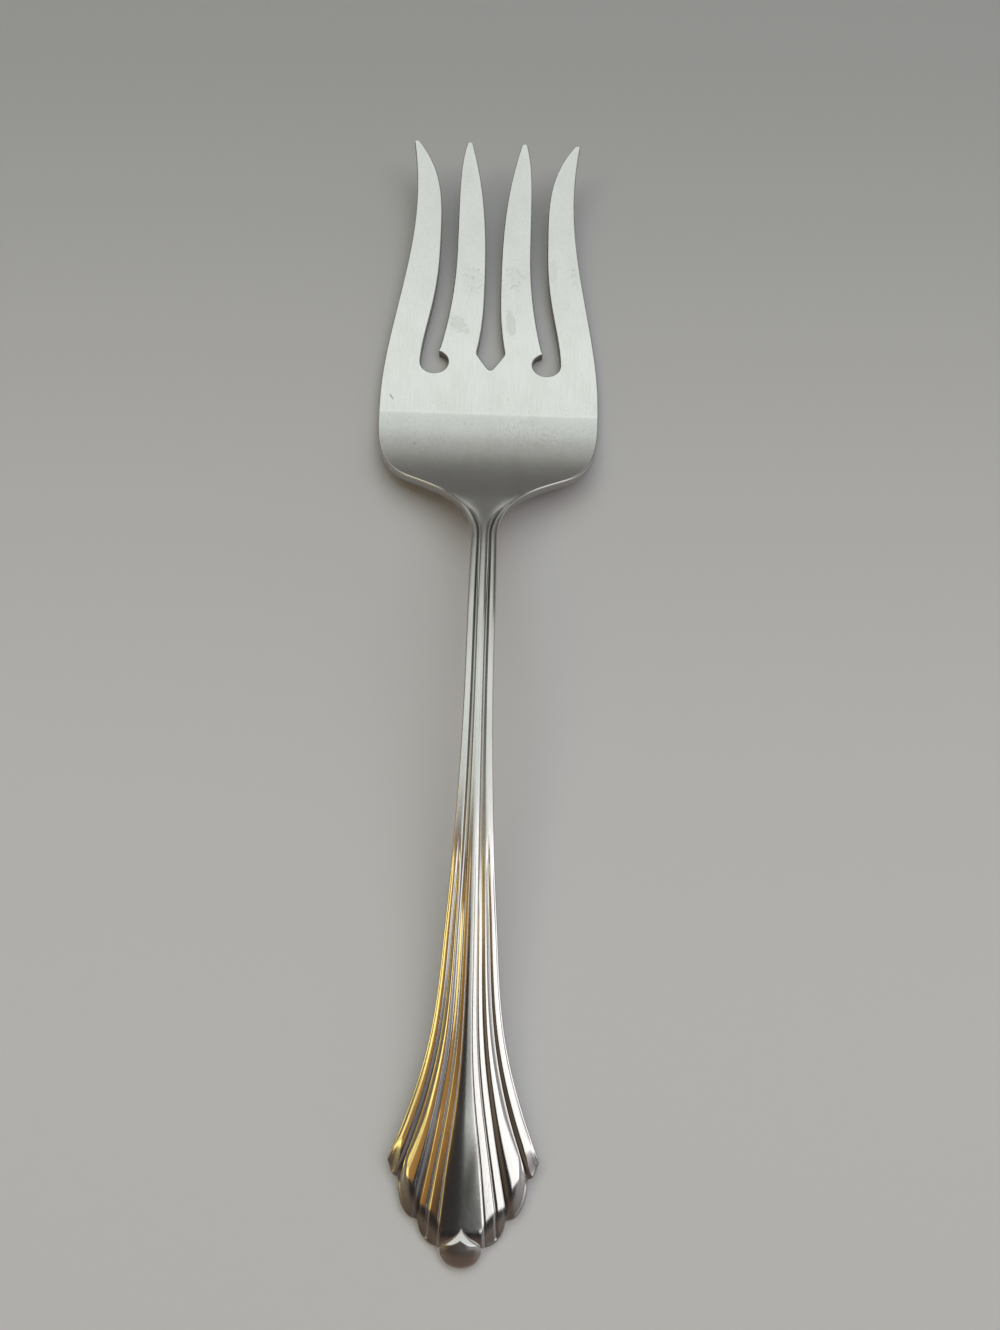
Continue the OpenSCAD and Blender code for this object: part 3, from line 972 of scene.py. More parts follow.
class MeshMaker:
    """Collects points in millimetres, their marks and their faces, and makes a mesh of them."""

    def __init__(self) -> None:
        """Starts with no points."""
        self.xyz: list[Array] = []
        self.normals: list[Array] = []
        self.mark_rows: list[dict[str, Array]] = []
        self.faces: list[Face] = []
        self.total = 0

    def add(self, x: Array, s: Array, z: Array, marks: dict[str, Array],
            normals: Array | None = None) -> Array:
        """Adds points.

        Args:
            x: Distances across.
            s: Stations.
            z: Heights.
            marks: Shares of the die's depths at the points.
            normals: Directions of the surface there, if they are known.

        Returns:
            The points' numbers.
        """
        block = np.stack([np.ravel(x), np.ravel(s), np.ravel(z)], 1)
        self.xyz.append(block)
        self.normals.append(np.zeros_like(block) if normals is None else normals)
        self.mark_rows.append({name: np.ravel(value) for name, value in marks.items()})
        self.total += len(block)
        return np.arange(self.total - len(block), self.total)

    def points(self, numbers: Array) -> Array:
        """The points with these numbers."""
        return np.concatenate(self.xyz)[numbers]

    def marks(self, numbers: Array) -> dict[str, Array]:
        """The marks of the points with these numbers."""
        return {name: values[numbers] for name, values in self.all_marks().items()}

    def all_marks(self) -> dict[str, Array]:
        """Collects each mark over all points.

        Returns:
            The marks' values by name, zero where a mark wasn't given.
        """
        names = sorted({name for row in self.mark_rows for name in row})
        rows = [(row, np.zeros(len(block))) for row, block in zip(self.mark_rows, self.xyz)]
        return {name: np.concatenate([row.get(name, zero) for row, zero in rows]) for name in names}

    def quads(self, grid: Array, level: Level) -> None:
        """Adds the faces of a grid.

        Args:
            grid: Point numbers by row and column.
            level: The side that the faces turn to.
        """
        a, b, c, d = grid[:-1, :-1], grid[:-1, 1:], grid[1:, 1:], grid[1:, :-1]
        order = (a, b, c, d) if level is Level.TOP else (a, d, c, b)
        self.faces += [tuple(f) for f in np.stack([np.ravel(n) for n in order], 1).tolist()]

    def faces_over(self, numbers: Array, faces: list[Face], level: Level) -> None:
        """Adds faces given by places in a list of point numbers.

        Args:
            numbers: The list.
            faces: Places in it of each face's corners.
            level: The side that the faces turn to.
        """
        for face in faces:
            corners = [int(numbers[i]) for i in face]
            self.faces.append(tuple(corners if level is Level.TOP else corners[::-1]))

    def fan(self, middle: int, ring: Array, level: Level) -> None:
        """Adds triangles between a point and a ring that runs anticlockwise, turned up or down."""
        pairs = zip(ring.tolist(), np.roll(ring, -1).tolist())
        self.faces += [(middle, a, b) if level is Level.TOP else (middle, b, a) for a, b in pairs]

    def strip(self, upper: Array, lower: Array) -> None:
        """Adds a closed strip between two rings that run anticlockwise."""
        order = (upper, lower, np.roll(lower, -1), np.roll(upper, -1))
        self.faces += [tuple(f) for f in np.stack(order, 1).tolist()]

    def finish(self, name: str, middle: float) -> tuple[bpy.types.Mesh, Array]:
        """Makes the mesh.

        Args:
            name: The mesh's name.
            middle: Station that lies at the origin.

        Returns:
            The mesh in metres, and the known normals of its points.
        """
        points = (np.concatenate(self.xyz) - [0, middle, 0]) * MM
        return make_mesh(name, points, self.faces, self.all_marks()), np.concatenate(self.normals)


@dataclass
class Blank:
    """The fork before the die strikes it: one closed mesh with rounded edges.

    Rows and columns cover the handle and the head as far as its widest place. From there a
    triangulated sheet covers the tines, and rings round the edges go all the way about.
    """

    side: SideView
    plan: PlanView
    ornament: Ornament
    fan_rows: int = 110
    shank_rows: int = 76
    head_rows: int = 84
    fan_row_power: float = 1.5
    seat_columns: int = 10
    inner_line_columns: int = 9
    tongue_columns: int = 4
    line_columns: int = 8
    border_columns: int = 3
    inner_columns: int = 20
    outer_columns: int = 18
    petal_column_power: float = 1.6
    respace_start: float = 11.0
    respace_length: float = 12.0
    arc_steps: int = 5
    edge_radius: float = 0.3
    handle_edge_radius: float = 0.28
    under_radius: float = 0.5
    sharp_radius: float = 0.1
    sharp_growth: float = 0.22
    lobe_radius: float = 0.5
    lobe_drop: float = 0.4
    lobe_under: float = 0.4
    lobe_growth: float = 0.55
    seat_radius: float = 0.14
    end_bend: float = 4.0
    sheet_step: float = 0.8
    path_step: float = 0.42
    # Painted shade on the side walls, darkest on the tines.
    wall_painted_shade: float = 0.6
    tine_wall_painted_shade: float = 1.1
    corner_reach: float = 0.6
    tip_reach: float = 1.0
    barb_reach: float = 0.2
    throat_reach: float = 0.7
    line_reach: float = 3.0
    sheet_margin: float = 0.6
    touching: float = 1e-6
    welding: float = 1e-7
    inside_only: int = 1

    def __post_init__(self) -> None:
        """Sets out the columns and the outline."""
        self.band, self.place, self.hand = self.set_columns()
        self.columns = len(self.band)
        self.rows = self.fan_rows + self.shank_rows + self.head_rows + 1
        self.tines = self.plan.tine_path(self.path_step, self.tip_reach, self.barb_reach,
                                         self.throat_reach)

    def set_columns(self) -> tuple[Array, Array, Array]:
        """Sets out the columns across the handle from left to right.

        Returns:
            Each column's band, its place in the band and its side of the centre line.
        """
        ornament = self.ornament
        seat = ornament.finial_share(np.linspace(0, 1, self.seat_columns + 1))
        near_line = self.line_reach * ornament.line_half_width
        past_line = ornament.inner_line_share + self.line_reach * ornament.inner_line_half_width
        line = ornament.line_share
        stops = (seat[-1], past_line, line - near_line, line + near_line, 1)
        counts = (self.inner_line_columns, self.tongue_columns, self.line_columns,
                  self.border_columns)
        strips = [np.linspace(start, stop, count + 1)[1:]
                  for start, stop, count in zip(stops, stops[1:], counts)]
        petals = [1 - (1 - np.linspace(0, 1, count + 1)) ** self.petal_column_power
                  for count in (self.inner_columns, self.outer_columns)]
        places = [np.concatenate([seat, *strips]), *petals]
        band = np.concatenate([np.full(len(p), b.value) for p, b in zip(places, Band)])
        place = np.concatenate(places)
        hand = np.concatenate([np.full(len(place) - 1, -1.0), np.ones(len(place))])
        return (np.concatenate([band[:0:-1], band]), np.concatenate([place[:0:-1], place]), hand)

    def column_x(self, s: Array, inset: Array) -> Array:
        """Places of the columns across the fork, without their side's sign.

        Args:
            s: Stations, by row and column.
            inset: Distance of the outermost columns from the outline.

        Returns:
            Distances from the centre line, by row and column.
        """
        ornament = self.ornament
        outer = self.plan.outline(s) - inset * self.plan.stretch(s)
        tongue, petal = ornament.tongue_edge(s), ornament.petal_edge(s)
        lines = np.select(
            [self.band == Band.TONGUE.value, self.band == Band.INNER_PETAL.value],
            [ornament.tongue_share(self.place, s) * tongue,
             mix(tongue + ornament.step_width, petal, self.place)],
            mix(petal + ornament.step_width, outer, self.place))
        even = np.abs(np.linspace(-1, 1, self.columns)) * outer
        respaced = ease((s - self.plan.at.neck_foot - self.respace_start) / self.respace_length)
        return mix(lines, even, respaced)

    def row_stations(self, ends: Array) -> Array:
        """Sets out the rows from the columns' ends to the head's widest place.

        Args:
            ends: Stations of the columns' ends.

        Returns:
            Stations by row and column.
        """
        at = self.plan.at
        share = (np.arange(self.fan_rows)[:, None] / self.fan_rows) ** self.fan_row_power
        fan = mix(ends[None, :], at.fan_root, share)
        shank = np.linspace(at.fan_root, at.neck_foot, self.shank_rows + 1)[:-1]
        head = np.linspace(at.neck_foot, at.sheet_start, self.head_rows + 1)
        straight = np.concatenate([shank, head])[:, None] * np.ones(self.columns)
        return np.concatenate([fan, straight])

    def outline_loop(self) -> tuple[Array, Array]:
        """The whole outline in plan, anticlockwise from the left corner of the fan.

        Returns:
            The points, and their outward directions.
        """
        ends = self.ornament.end_station(self.band, self.place)
        scallop = np.stack([self.hand * self.column_x(ends[None, :], np.zeros(1))[0], ends], 1)
        side_s = self.row_stations(ends)[1:, -1]
        side = np.stack([self.plan.outline(side_s), side_s], 1)
        loop = np.concatenate([scallop, side, self.tines[1:-1], mirrored(side)])
        for corner in (0, len(scallop) - 1):
            soften(loop, corner, self.corner_reach)
        along = np.roll(loop, -1, axis=0) - np.roll(loop, 1, axis=0)
        out = np.stack([along[:, 1], -along[:, 0]], 1)
        out /= np.linalg.norm(out, axis=1, keepdims=True)
        widest_right = len(scallop) + len(side) - 1
        widest_left = widest_right + len(self.tines) - 1
        straight = np.abs(loop[:, 1] - self.plan.at.neck_foot) < self.touching
        straight[[widest_right, widest_left]] = True
        out[straight] = np.stack([np.sign(loop[straight, 0]), np.zeros(straight.sum())], 1)
        return loop, out

    def edge_sizes(self, loop: Array) -> dict[str, Array]:
        """Sizes of the rounding along the outline.

        Args:
            loop: Points of the outline.

        Returns:
            Width and drop of the upper rounding and radius of the lower one, by point.
        """
        at, ornament = self.plan.at, self.ornament
        on_handle = 1 - ease((loop[:, 1] - at.neck_foot) / (at.shoulder - at.neck_foot))
        corners = np.concatenate([self.plan.sharp_points(), ornament.notches()])
        sharp = np.linalg.norm(loop[:, None, :] - corners[None], axis=2).min(1)
        limit = self.sharp_radius + mix(self.sharp_growth, self.lobe_growth, on_handle) * sharp
        width = np.minimum(limit, mix(self.edge_radius, self.handle_edge_radius, on_handle))
        lower = np.minimum(limit, mix(self.edge_radius, self.under_radius, on_handle))
        scallop = np.arange(len(loop)) < self.columns
        seat = np.abs(loop[:, 0]) < ornament.finial_width / 2
        lobe = np.where(seat, self.seat_radius, np.minimum(self.lobe_radius, limit))
        width = np.where(scallop, lobe, width)
        drop = np.where(scallop, lobe * self.lobe_drop / self.lobe_radius, width)
        lower = np.where(scallop, np.minimum(lobe, self.lobe_under), lower)
        return {"width": width, "drop": drop, "lower": lower}

    def grid(self, loop: Array, out: Array, inset: Array) -> tuple[Array, Array]:
        """Rows and columns of one face of the handle and head.

        Args:
            loop: Points of the outline.
            out: Their outward directions.
            inset: Distance of the face's edge inside the outline, by point.

        Returns:
            Distances across with their sign, and stations, by row and column.
        """
        count = self.columns
        border = loop - out * inset[:, None]
        s = self.row_stations(border[:count, 1])
        x = self.hand * self.column_x(s, inset[count - 1:count + self.rows - 1, None])
        pull = 1 - ease((s - s[:1]) / self.end_bend)
        x = x + pull * (border[:count, 0] - x[0])
        right = border[count:count + self.rows - 1]
        x[1:, -1], s[1:, -1] = right[:, 0], right[:, 1]
        x[1:, 0], s[1:, 0] = -right[:, 0], right[:, 1]
        s[-1] = self.plan.at.sheet_start
        return x, s

    def sheet(self, border: Array) -> tuple[Array, list[Face]]:
        """Triangles that cover the tines and the palm inside a closed border.

        Args:
            border: Points of the border in plan, anticlockwise.

        Returns:
            Points inside the border, and triangles over the border followed by those points.
        """
        low, high = border.min(0), border.max(0)
        step = self.sheet_step
        across, along = np.meshgrid(np.arange(low[0], high[0], step),
                                    np.arange(low[1], high[1], step))
        across = across + np.where((np.arange(len(across)) % 2)[:, None] == 1, step / 2, 0)
        points = np.stack([across.ravel(), along.ravel()], 1)
        onward = np.roll(border, -1, axis=0) - border
        station = points[:, 1:2]
        crosses = (border[:, 1] > station) != (np.roll(border[:, 1], -1) > station)
        share = (station - border[:, 1]) / np.where(onward[:, 1] == 0, 1, onward[:, 1])
        hits = crosses & (points[:, :1] < border[:, 0] + share * onward[:, 0])
        points = points[hits.sum(1) % 2 == 1]
        away = np.sqrt(((points[:, None] - border[None]) ** 2).sum(2)).min(1)
        points = points[away > step * self.sheet_margin]
        everything = [Vector(p) for p in np.concatenate([border, points])]
        result = delaunay_2d_cdt(everything, [], [list(range(len(border)))],
                                 self.inside_only, self.welding)
        origin = [ids[0] for ids in result[3]]
        return points, [tuple(origin[i] for i in face) for face in result[2]]

    def mesh(self) -> tuple[bpy.types.Mesh, Array]:
        """Builds the blank.

        Returns:
            Its mesh in metres, with the die's marks as attributes, and the clean normals of the
            points on the flat sheets, which are zero elsewhere.
        """
        loop, out = self.outline_loop()
        size = self.edge_sizes(loop)
        maker = MeshMaker()
        rims = {}
        for level in Level:
            inset = size["width"] if level is Level.TOP else size["lower"]
            rims[level] = self.add_face(maker, level, loop, out, inset)
        self.add_rings(maker, loop, out, size, rims)
        return maker.finish("fork_blank", self.plan.at.tip / 2)

    def add_face(self, maker: MeshMaker, level: Level, loop: Array, out: Array,
                 inset: Array) -> Array:
        """Adds one face of the fork.

        Args:
            maker: Takes the points and faces.
            level: Which of the two faces it is.
            loop: Points of the outline.
            out: Their outward directions.
            inset: Distance of the face's edge inside the outline, by point.

        Returns:
            Numbers of the points along the face's border.
        """
        x, s = self.grid(loop, out, inset)
        band = np.broadcast_to(self.band, x.shape)
        place = np.broadcast_to(self.place, x.shape)
        marks = {"under": np.ones(x.shape)}
        if level is Level.TOP:
            marks = self.ornament.relief(band, place, np.abs(x), s)
        grid = maker.add(x, s, self.side.face(level, s), marks).reshape(x.shape)
        maker.quads(grid, level)
        round_tines = slice(self.columns + self.rows - 1, len(loop) - self.rows + 1)
        edge = (loop - out * inset[:, None])[round_tines]
        base = np.stack([x[-1], s[-1]], 1)
        points, faces = self.sheet(np.concatenate([base, edge]))
        fresh = np.concatenate([edge, points])
        slope = self.side.slope(level, fresh[:, 1])
        normals = np.stack([0 * slope, -slope, 1 + 0 * slope], 1) * level.value
        marks = {"under": np.full(len(fresh), float(level is Level.BOTTOM))}
        numbers = maker.add(*fresh.T, self.side.face(level, fresh[:, 1]), marks, normals)
        maker.faces_over(np.concatenate([grid[-1], numbers]), faces, level)
        return np.concatenate([grid[0], grid[1:, -1], numbers[:len(edge)], grid[:0:-1, 0]])

    def add_rings(self, maker: MeshMaker, loop: Array, out: Array, size: dict[str, Array],
                  rims: dict[Level, Array]) -> None:
        """Adds the rounded edges between the two faces, with painted shade darkening the side
        walls.

        Args:
            maker: Takes the points and faces.
            loop: Points of the outline.
            out: Their outward directions.
            size: Sizes of the rounding along the outline, by name.
            rims: Numbers of the points along the border of each face.
        """
        at = self.plan.at
        top = maker.points(rims[Level.TOP])
        bottom = maker.points(rims[Level.BOTTOM])
        marks = maker.marks(rims[Level.TOP])
        turn = np.linspace(0, math.pi / 2, self.arc_steps + 1)[1:]
        on_tines = ease((loop[:, 1] - at.shoulder) / (at.root - at.shoulder))
        # Painted shade: the walls' colour darkens down each rounding, most on the tines.
        wall_shade = mix(self.wall_painted_shade, self.tine_wall_painted_shade, on_tines)
        rings = [rims[Level.TOP]]
        for angle in turn:
            plan = loop - out * (size["width"] * (1 - math.sin(angle)))[:, None]
            z = top[:, 2] - size["drop"] * (1 - math.cos(angle))
            dark = np.maximum(marks["hollow"], wall_shade * (1 - math.cos(angle)))
            rings.append(maker.add(*plan.T, z, marks | {"hollow": dark}))
        for angle in turn[::-1]:
            plan = loop - out * (size["lower"] * (1 - math.sin(angle)))[:, None]
            z = bottom[:, 2] + size["lower"] * (1 - math.cos(angle))
            lower_marks = {"hollow": wall_shade * (1 - math.cos(angle)), "under": np.ones(len(plan))}
            rings.append(maker.add(*plan.T, z, lower_marks))
        rings.append(rims[Level.BOTTOM])
        for upper, lower in zip(rings[:-1], rings[1:]):
            maker.strip(upper, lower)


@dataclass(frozen=True)
class Grain:
    """Noise with grains of given sizes across, along and up, in millimetres, turned by degrees."""

    sizes: Triple
    turn: float = 0.0
    detail: float = 2.0


class Shader(NodeMaker):
    """A material under construction, metallic unless changed."""

    def __init__(self, name: str) -> None:
        """Starts the material, which reads object coordinates.

        Args:
            name: The material's name.
        """
        self.material = bpy.data.materials.new(name)
        self.material.use_nodes = True
        super().__init__(self.material.node_tree)
        self.surface = self.tree.nodes["Principled BSDF"].inputs
        self.feed(self.surface["Metallic"], 1.0)
        self.where = self.add("ShaderNodeTexCoord", {}).outputs["Object"]
        self.along = self.add("ShaderNodeSeparateXYZ", {0: self.where}).outputs["Y"]

    def local(self, sizes: Triple, turn: float = 0.0, centre: Triple = (0.0, 0.0, 0.0)) -> Socket:
        """Coordinates about a centre, turned and measured in given sizes.

        Args:
            sizes: Lengths that count as one across, along and up, in millimetres.
            turn: Turn in plan, in degrees.
            centre: The centre, in millimetres.

        Returns:
            The coordinates.
        """
        node = self.add("ShaderNodeMapping", {
            "Vector": self.where,
            "Location": [length * MM for length in centre],
            "Rotation": (0.0, 0.0, math.radians(turn)),
            "Scale": [length * MM for length in sizes],
        }, vector_type="TEXTURE")
        return node.outputs["Vector"]

    def noise(self, grain: Grain) -> Socket:
        """Adds noise.

        Args:
            grain: Its sizes, turn and detail.

        Returns:
            The noise's value.
        """
        inputs = {"Vector": self.local(grain.sizes, grain.turn), "Scale": 1.0,
                  "Detail": grain.detail}
        return self.add("ShaderNodeTexNoise", inputs).outputs[0]

    def attribute(self, name: str) -> Socket:
        """Value of an attribute of the mesh, zero where it has none."""
        return self.add("ShaderNodeAttribute", {}, attribute_name=name).outputs["Fac"]

    def blend(self, first: Feed, second: Feed, share: Feed) -> Socket:
        """Mixes two colours.

        Args:
            first: Colour at share 0.
            second: Colour at share 1.
            share: Share of the second colour.

        Returns:
            The mixed colour.
        """
        node = self.add("ShaderNodeMix", {0: share}, data_type="RGBA")
        colours = [socket for socket in node.inputs if socket.type == "RGBA"]
        for socket, colour in zip(colours, (first, second)):
            self.feed(socket, colour)
        return next(socket for socket in node.outputs if socket.type == "RGBA")

    def bump(self, height: Socket, distance: float) -> None:
        """Tilts the surface as if it had small heights.

        Args:
            height: Heights, as shares of the distance.
            distance: Height at share 1, in millimetres.
        """
        node = self.add("ShaderNodeBump",
                        {"Strength": 1.0, "Distance": distance * MM, "Height": height})
        self.feed(self.surface["Normal"], node.outputs["Normal"])


@dataclass(frozen=True)
class Hairlines:
    """Sparse scratches where a stretched noise passes its middle, in millimetres and degrees."""

    turn: float
    width: float
    sizes: Triple = (0.7, 16.0, 0.7)
    patch_sizes: Triple = (3.0, 5.0, 3.0)
    patch_span: Pair = (0.52, 0.66)

    def mask(self, shader: Shader) -> Socket:
        """Adds the scratches to a material.

        Args:
            shader: The material.

        Returns:
            Where the scratches are.
        """
        stretched = shader.noise(Grain(self.sizes, self.turn, detail=0.0))
        away = shader.math("ABSOLUTE", shader.math("SUBTRACT", stretched, 0.5))
        lines = shader.step(away, self.width, 0.0)
        spread = shader.noise(Grain(self.patch_sizes, self.turn, detail=1.0))
        patches = shader.step(spread, *self.patch_span)
        return shader.math("MULTIPLY", lines, patches)


@dataclass(frozen=True)
class Mark:
    """Stain, scratch or nick in plan with a ragged edge, in millimetres and degrees."""

    x: float
    station: float
    half_width: float
    half_length: float
    turn: float = 0.0
    strength: float = 0.15
    ragged: float = 1.2
    grain: float = 1.2
    cracked: bool = False
    core: float = 0.7
    through: float = 1000.0
    edge_detail: float = 3.0
    cell_shares: Pair = (0.7, 1.4)
    crack_span: Pair = (0.09, 0.02)
    breaks: Grain = Grain((0.8, 0.8, 0.8))
    break_span: Pair = (0.42, 0.62)

    def mask(self, shader: Shader, middle: float) -> Socket:
        """Adds the mark to a material.

        Args:
            shader: The material.
            middle: Station that lies at the origin.

        Returns:
            How strong the mark is.
        """
        where = shader.local((self.half_width, self.half_length, self.through), self.turn,
                             (self.x, self.station - middle, 0.0))
        away = shader.add("ShaderNodeVectorMath", {0: where}, operation="LENGTH").outputs["Value"]
        grain = Grain((self.grain, self.grain, self.grain), detail=self.edge_detail)
        rough = shader.math("SUBTRACT", shader.noise(grain), 0.5)
        edge = shader.math("MULTIPLY_ADD", rough, self.ragged, away)
        mask = shader.step(edge, 1.0, self.core, 0.0, self.strength)
        return shader.math("MULTIPLY", mask, self.cracks(shader)) if self.cracked else mask

    def cracks(self, shader: Shader) -> Socket:
        """Adds the broken lines between the cells of a dried stain.

        Args:
            shader: The material.

        Returns:
            Where the lines are.
        """
        cell = [share * self.grain for share in self.cell_shares]
        inputs = {"Vector": shader.local((*cell, self.through)), "Scale": 1.0}
        cells = shader.add("ShaderNodeTexVoronoi", inputs, feature="DISTANCE_TO_EDGE")
        broken = shader.step(shader.noise(self.breaks), *self.break_span)
        lines = shader.step(cells.outputs["Distance"], *self.crack_span)
        return shader.math("MULTIPLY", lines, broken)


@dataclass(frozen=True)
class Steel(ABC):
    """Stainless steel with a fine grain along the fork.

    Roughness follows the place along the fork, so that sections with different finishes meet
    without a line.
    """

    name: str
    middle: float
    colour: Colour = (0.76, 0.75, 0.725, 1.0)
    tarnish: Colour = (0.66, 0.645, 0.61, 1.0)
    dirt: Colour = (0.2, 0.18, 0.15, 1.0)
    # Darker tone in the coves, lines and sunk strips, and painted shade on the side walls and on
    # the bent ends of the lobes.
    recess_dark_and_painted_shade: Colour = (0.09, 0.08, 0.075, 1.0)
    recess_and_shade_share: float = 0.75
    dull: Colour = (0.5, 0.49, 0.455, 1.0)
    dull_share: float = 0.8
    dull_rise: Pair = (86.0, 102.0)
    dull_fall: Pair = (104.0, 115.0)
    fan_roughness: float = 0.12
    end_roughness: float = 0.16
    end_span: Pair = (0.0, 0.35)
    shank_roughness: float = 0.23
    head_roughness: float = 0.2
    shank_span: Pair = (38.0, 76.0)
    head_span: Pair = (112.0, 140.0)
    grain: Grain = Grain((0.11, 5.0, 0.11), detail=3.0)
    grain_height: float = 0.0018
    grain_span: Pair = (0.4, 0.68)
    grain_share: float = 0.45
    grain_roughness: float = 0.04
    fan_grain: float = 0.2
    mottle: Grain = Grain((5.0, 9.0, 5.0), turn=12.0, detail=4.0)
    mottle_span: Pair = (0.35, 0.75)
    mottle_share: float = 0.45
    hairlines: tuple[Hairlines, ...] = (Hairlines(turn=3.0, width=0.02),
                                        Hairlines(turn=-14.0, width=0.014))
    line_share: float = 0.25
    line_roughness: float = 0.04

    def material(self) -> bpy.types.Material:
        """Builds the material.

        Returns:
            The material.
        """
        shader = Shader(self.name)
        grain = shader.noise(self.grain)
        lines = shader.math("MAXIMUM", *(scratches.mask(shader) for scratches in self.hairlines))
        self.set_roughness(shader, grain, lines)
        self.set_colour(shader, grain, lines)
        fade = self.ramp(shader, self.shank_span, self.fan_grain, 1.0)
        shader.bump(self.height(shader, shader.math("MULTIPLY", grain, fade)), self.grain_height)
        return shader.material

    def ramp(self, shader: Shader, stations: Pair, start: float, stop: float) -> Socket:
        """Value that goes smoothly from start to stop between two stations."""
        places = [(station - self.middle) * MM for station in stations]
        return shader.step(shader.along, *places, start, stop)

    def set_roughness(self, shader: Shader, grain: Socket, lines: Socket) -> None:
        """Sets the roughness from the place along the fork, the grain and the scratches.

        Args:
            shader: The material.
            grain: Noise of the grain.
            lines: Where the scratches are.
        """
        shank = self.ramp(shader, self.shank_span, self.fan_roughness, self.shank_roughness)
        head = self.ramp(shader, self.head_span, 0.0, self.head_roughness - self.shank_roughness)
        ends = shader.step(shader.attribute("end_bend"), *self.end_span, 0.0, self.end_roughness)
        base = shader.math("ADD", shader.math("ADD", shank, head), ends)
        uneven = shader.math("SUBTRACT", grain, 0.5)
        grained = shader.math("MULTIPLY_ADD", uneven, self.grain_roughness, base)
        scratched = shader.math("MULTIPLY_ADD", lines, self.line_roughness, grained)
        shader.feed(shader.surface["Roughness"], scratched)

    def set_colour(self, shader: Shader, grain: Socket, lines: Socket) -> None:
        """Sets the colour: bare steel under layers of tarnish, wear and dirt, then a darker tone in
        the coves and lines, with painted shade on the side walls and the lobes' bent ends.

        Args:
            shader: The material.
            grain: Noise of the grain.
            lines: Where the scratches are.
        """
        mottle = shader.step(shader.noise(self.mottle), *self.mottle_span)
        worn = shader.math("MULTIPLY", self.ramp(shader, self.dull_rise, 0.0, self.dull_share),
                           self.ramp(shader, self.dull_fall, 1.0, 0.0))
        upper = shader.math("SUBTRACT", 1.0, shader.attribute("under"))
        # Mask of the darker tone in the recesses and of the painted shade on walls and lobe ends.
        hollow = shader.attribute("hollow")
        colour = self.colour
        for layer, share in (
                (self.tarnish, shader.math("MULTIPLY", mottle, self.mottle_share)),
                (self.tarnish, shader.step(grain, *self.grain_span, 0.0, self.grain_share)),
                (self.tarnish, shader.math("MULTIPLY", lines, self.line_share)),
                (self.dull, worn),
                (self.dirt, shader.math("MULTIPLY", self.wear(shader), upper)),
                (self.recess_dark_and_painted_shade, shader.math("MULTIPLY", hollow, self.recess_and_shade_share))):
            colour = shader.blend(colour, layer, share)
        shader.feed(shader.surface["Base Color"], colour)

    def height(self, shader: Shader, grain: Socket) -> Socket:
        """Height of the surface, as a share of the grain's height."""
        return grain

    @abstractmethod
    def wear(self, shader: Shader) -> Socket:
        """Mask of the finish's own dirt and stains."""


@dataclass(frozen=True)
class SatinSteel(Steel):
    """Finish of the blade, with the stains and nicks of use."""

    specks: Grain = Grain((0.35, 0.5, 0.35))
    speck_span: Pair = (0.6, 0.74)
    speck_stations: Pair = (138.0, 156.0)
    speck_shares: Pair = (0.34, 0.1)
    marks: tuple[Mark, ...] = (
        Mark(4.1, 173.0, 1.15, 4.3, turn=6.0, strength=0.17, ragged=1.1),
        Mark(-6.9, 172.9, 1.6, 2.6, turn=20.0, strength=0.13, ragged=2.2),
        Mark(-5.4, 170.9, 0.9, 1.0, strength=0.1, ragged=1.4),
        Mark(-4.6, 184.3, 2.6, 4.6, strength=0.3, ragged=1.6, grain=1.5, cracked=True),
        Mark(-4.4, 183.6, 2.2, 4.0, strength=0.06, ragged=2.2, grain=0.7),
        Mark(4.9, 185.0, 2.5, 3.6, strength=0.26, ragged=1.6, grain=1.4, cracked=True),
        Mark(4.8, 184.8, 2.2, 3.2, strength=0.06, ragged=2.2, grain=0.7),
        Mark(12.9, 186.6, 1.0, 4.0, strength=0.08, ragged=1.6),
        Mark(17.4, 185.2, 0.9, 3.6, turn=4.0, strength=0.3, ragged=1.6, cracked=True),
        Mark(-19.9, 153.5, 0.16, 0.95, turn=31.0, strength=0.75, ragged=0.5),
        Mark(-14.4, 141.2, 0.14, 0.3, turn=-20.0, strength=0.6, ragged=0.5),
        Mark(9.0, 145.0, 9.0, 4.0, strength=0.16, ragged=2.0, grain=1.3, cracked=True),
    )

    def wear(self, shader: Shader) -> Socket:
        """Adds the specks, stains and nicks.

        Args:
            shader: The material.

        Returns:
            Their mask.
        """
        specks = shader.step(shader.noise(self.specks), *self.speck_span)
        share = self.ramp(shader, self.speck_stations, *self.speck_shares)
        total = shader.math("MULTIPLY", specks, share)
        for mark in self.marks:
            total = shader.math("MAXIMUM", mark.mask(shader, self.middle), total)
        return total


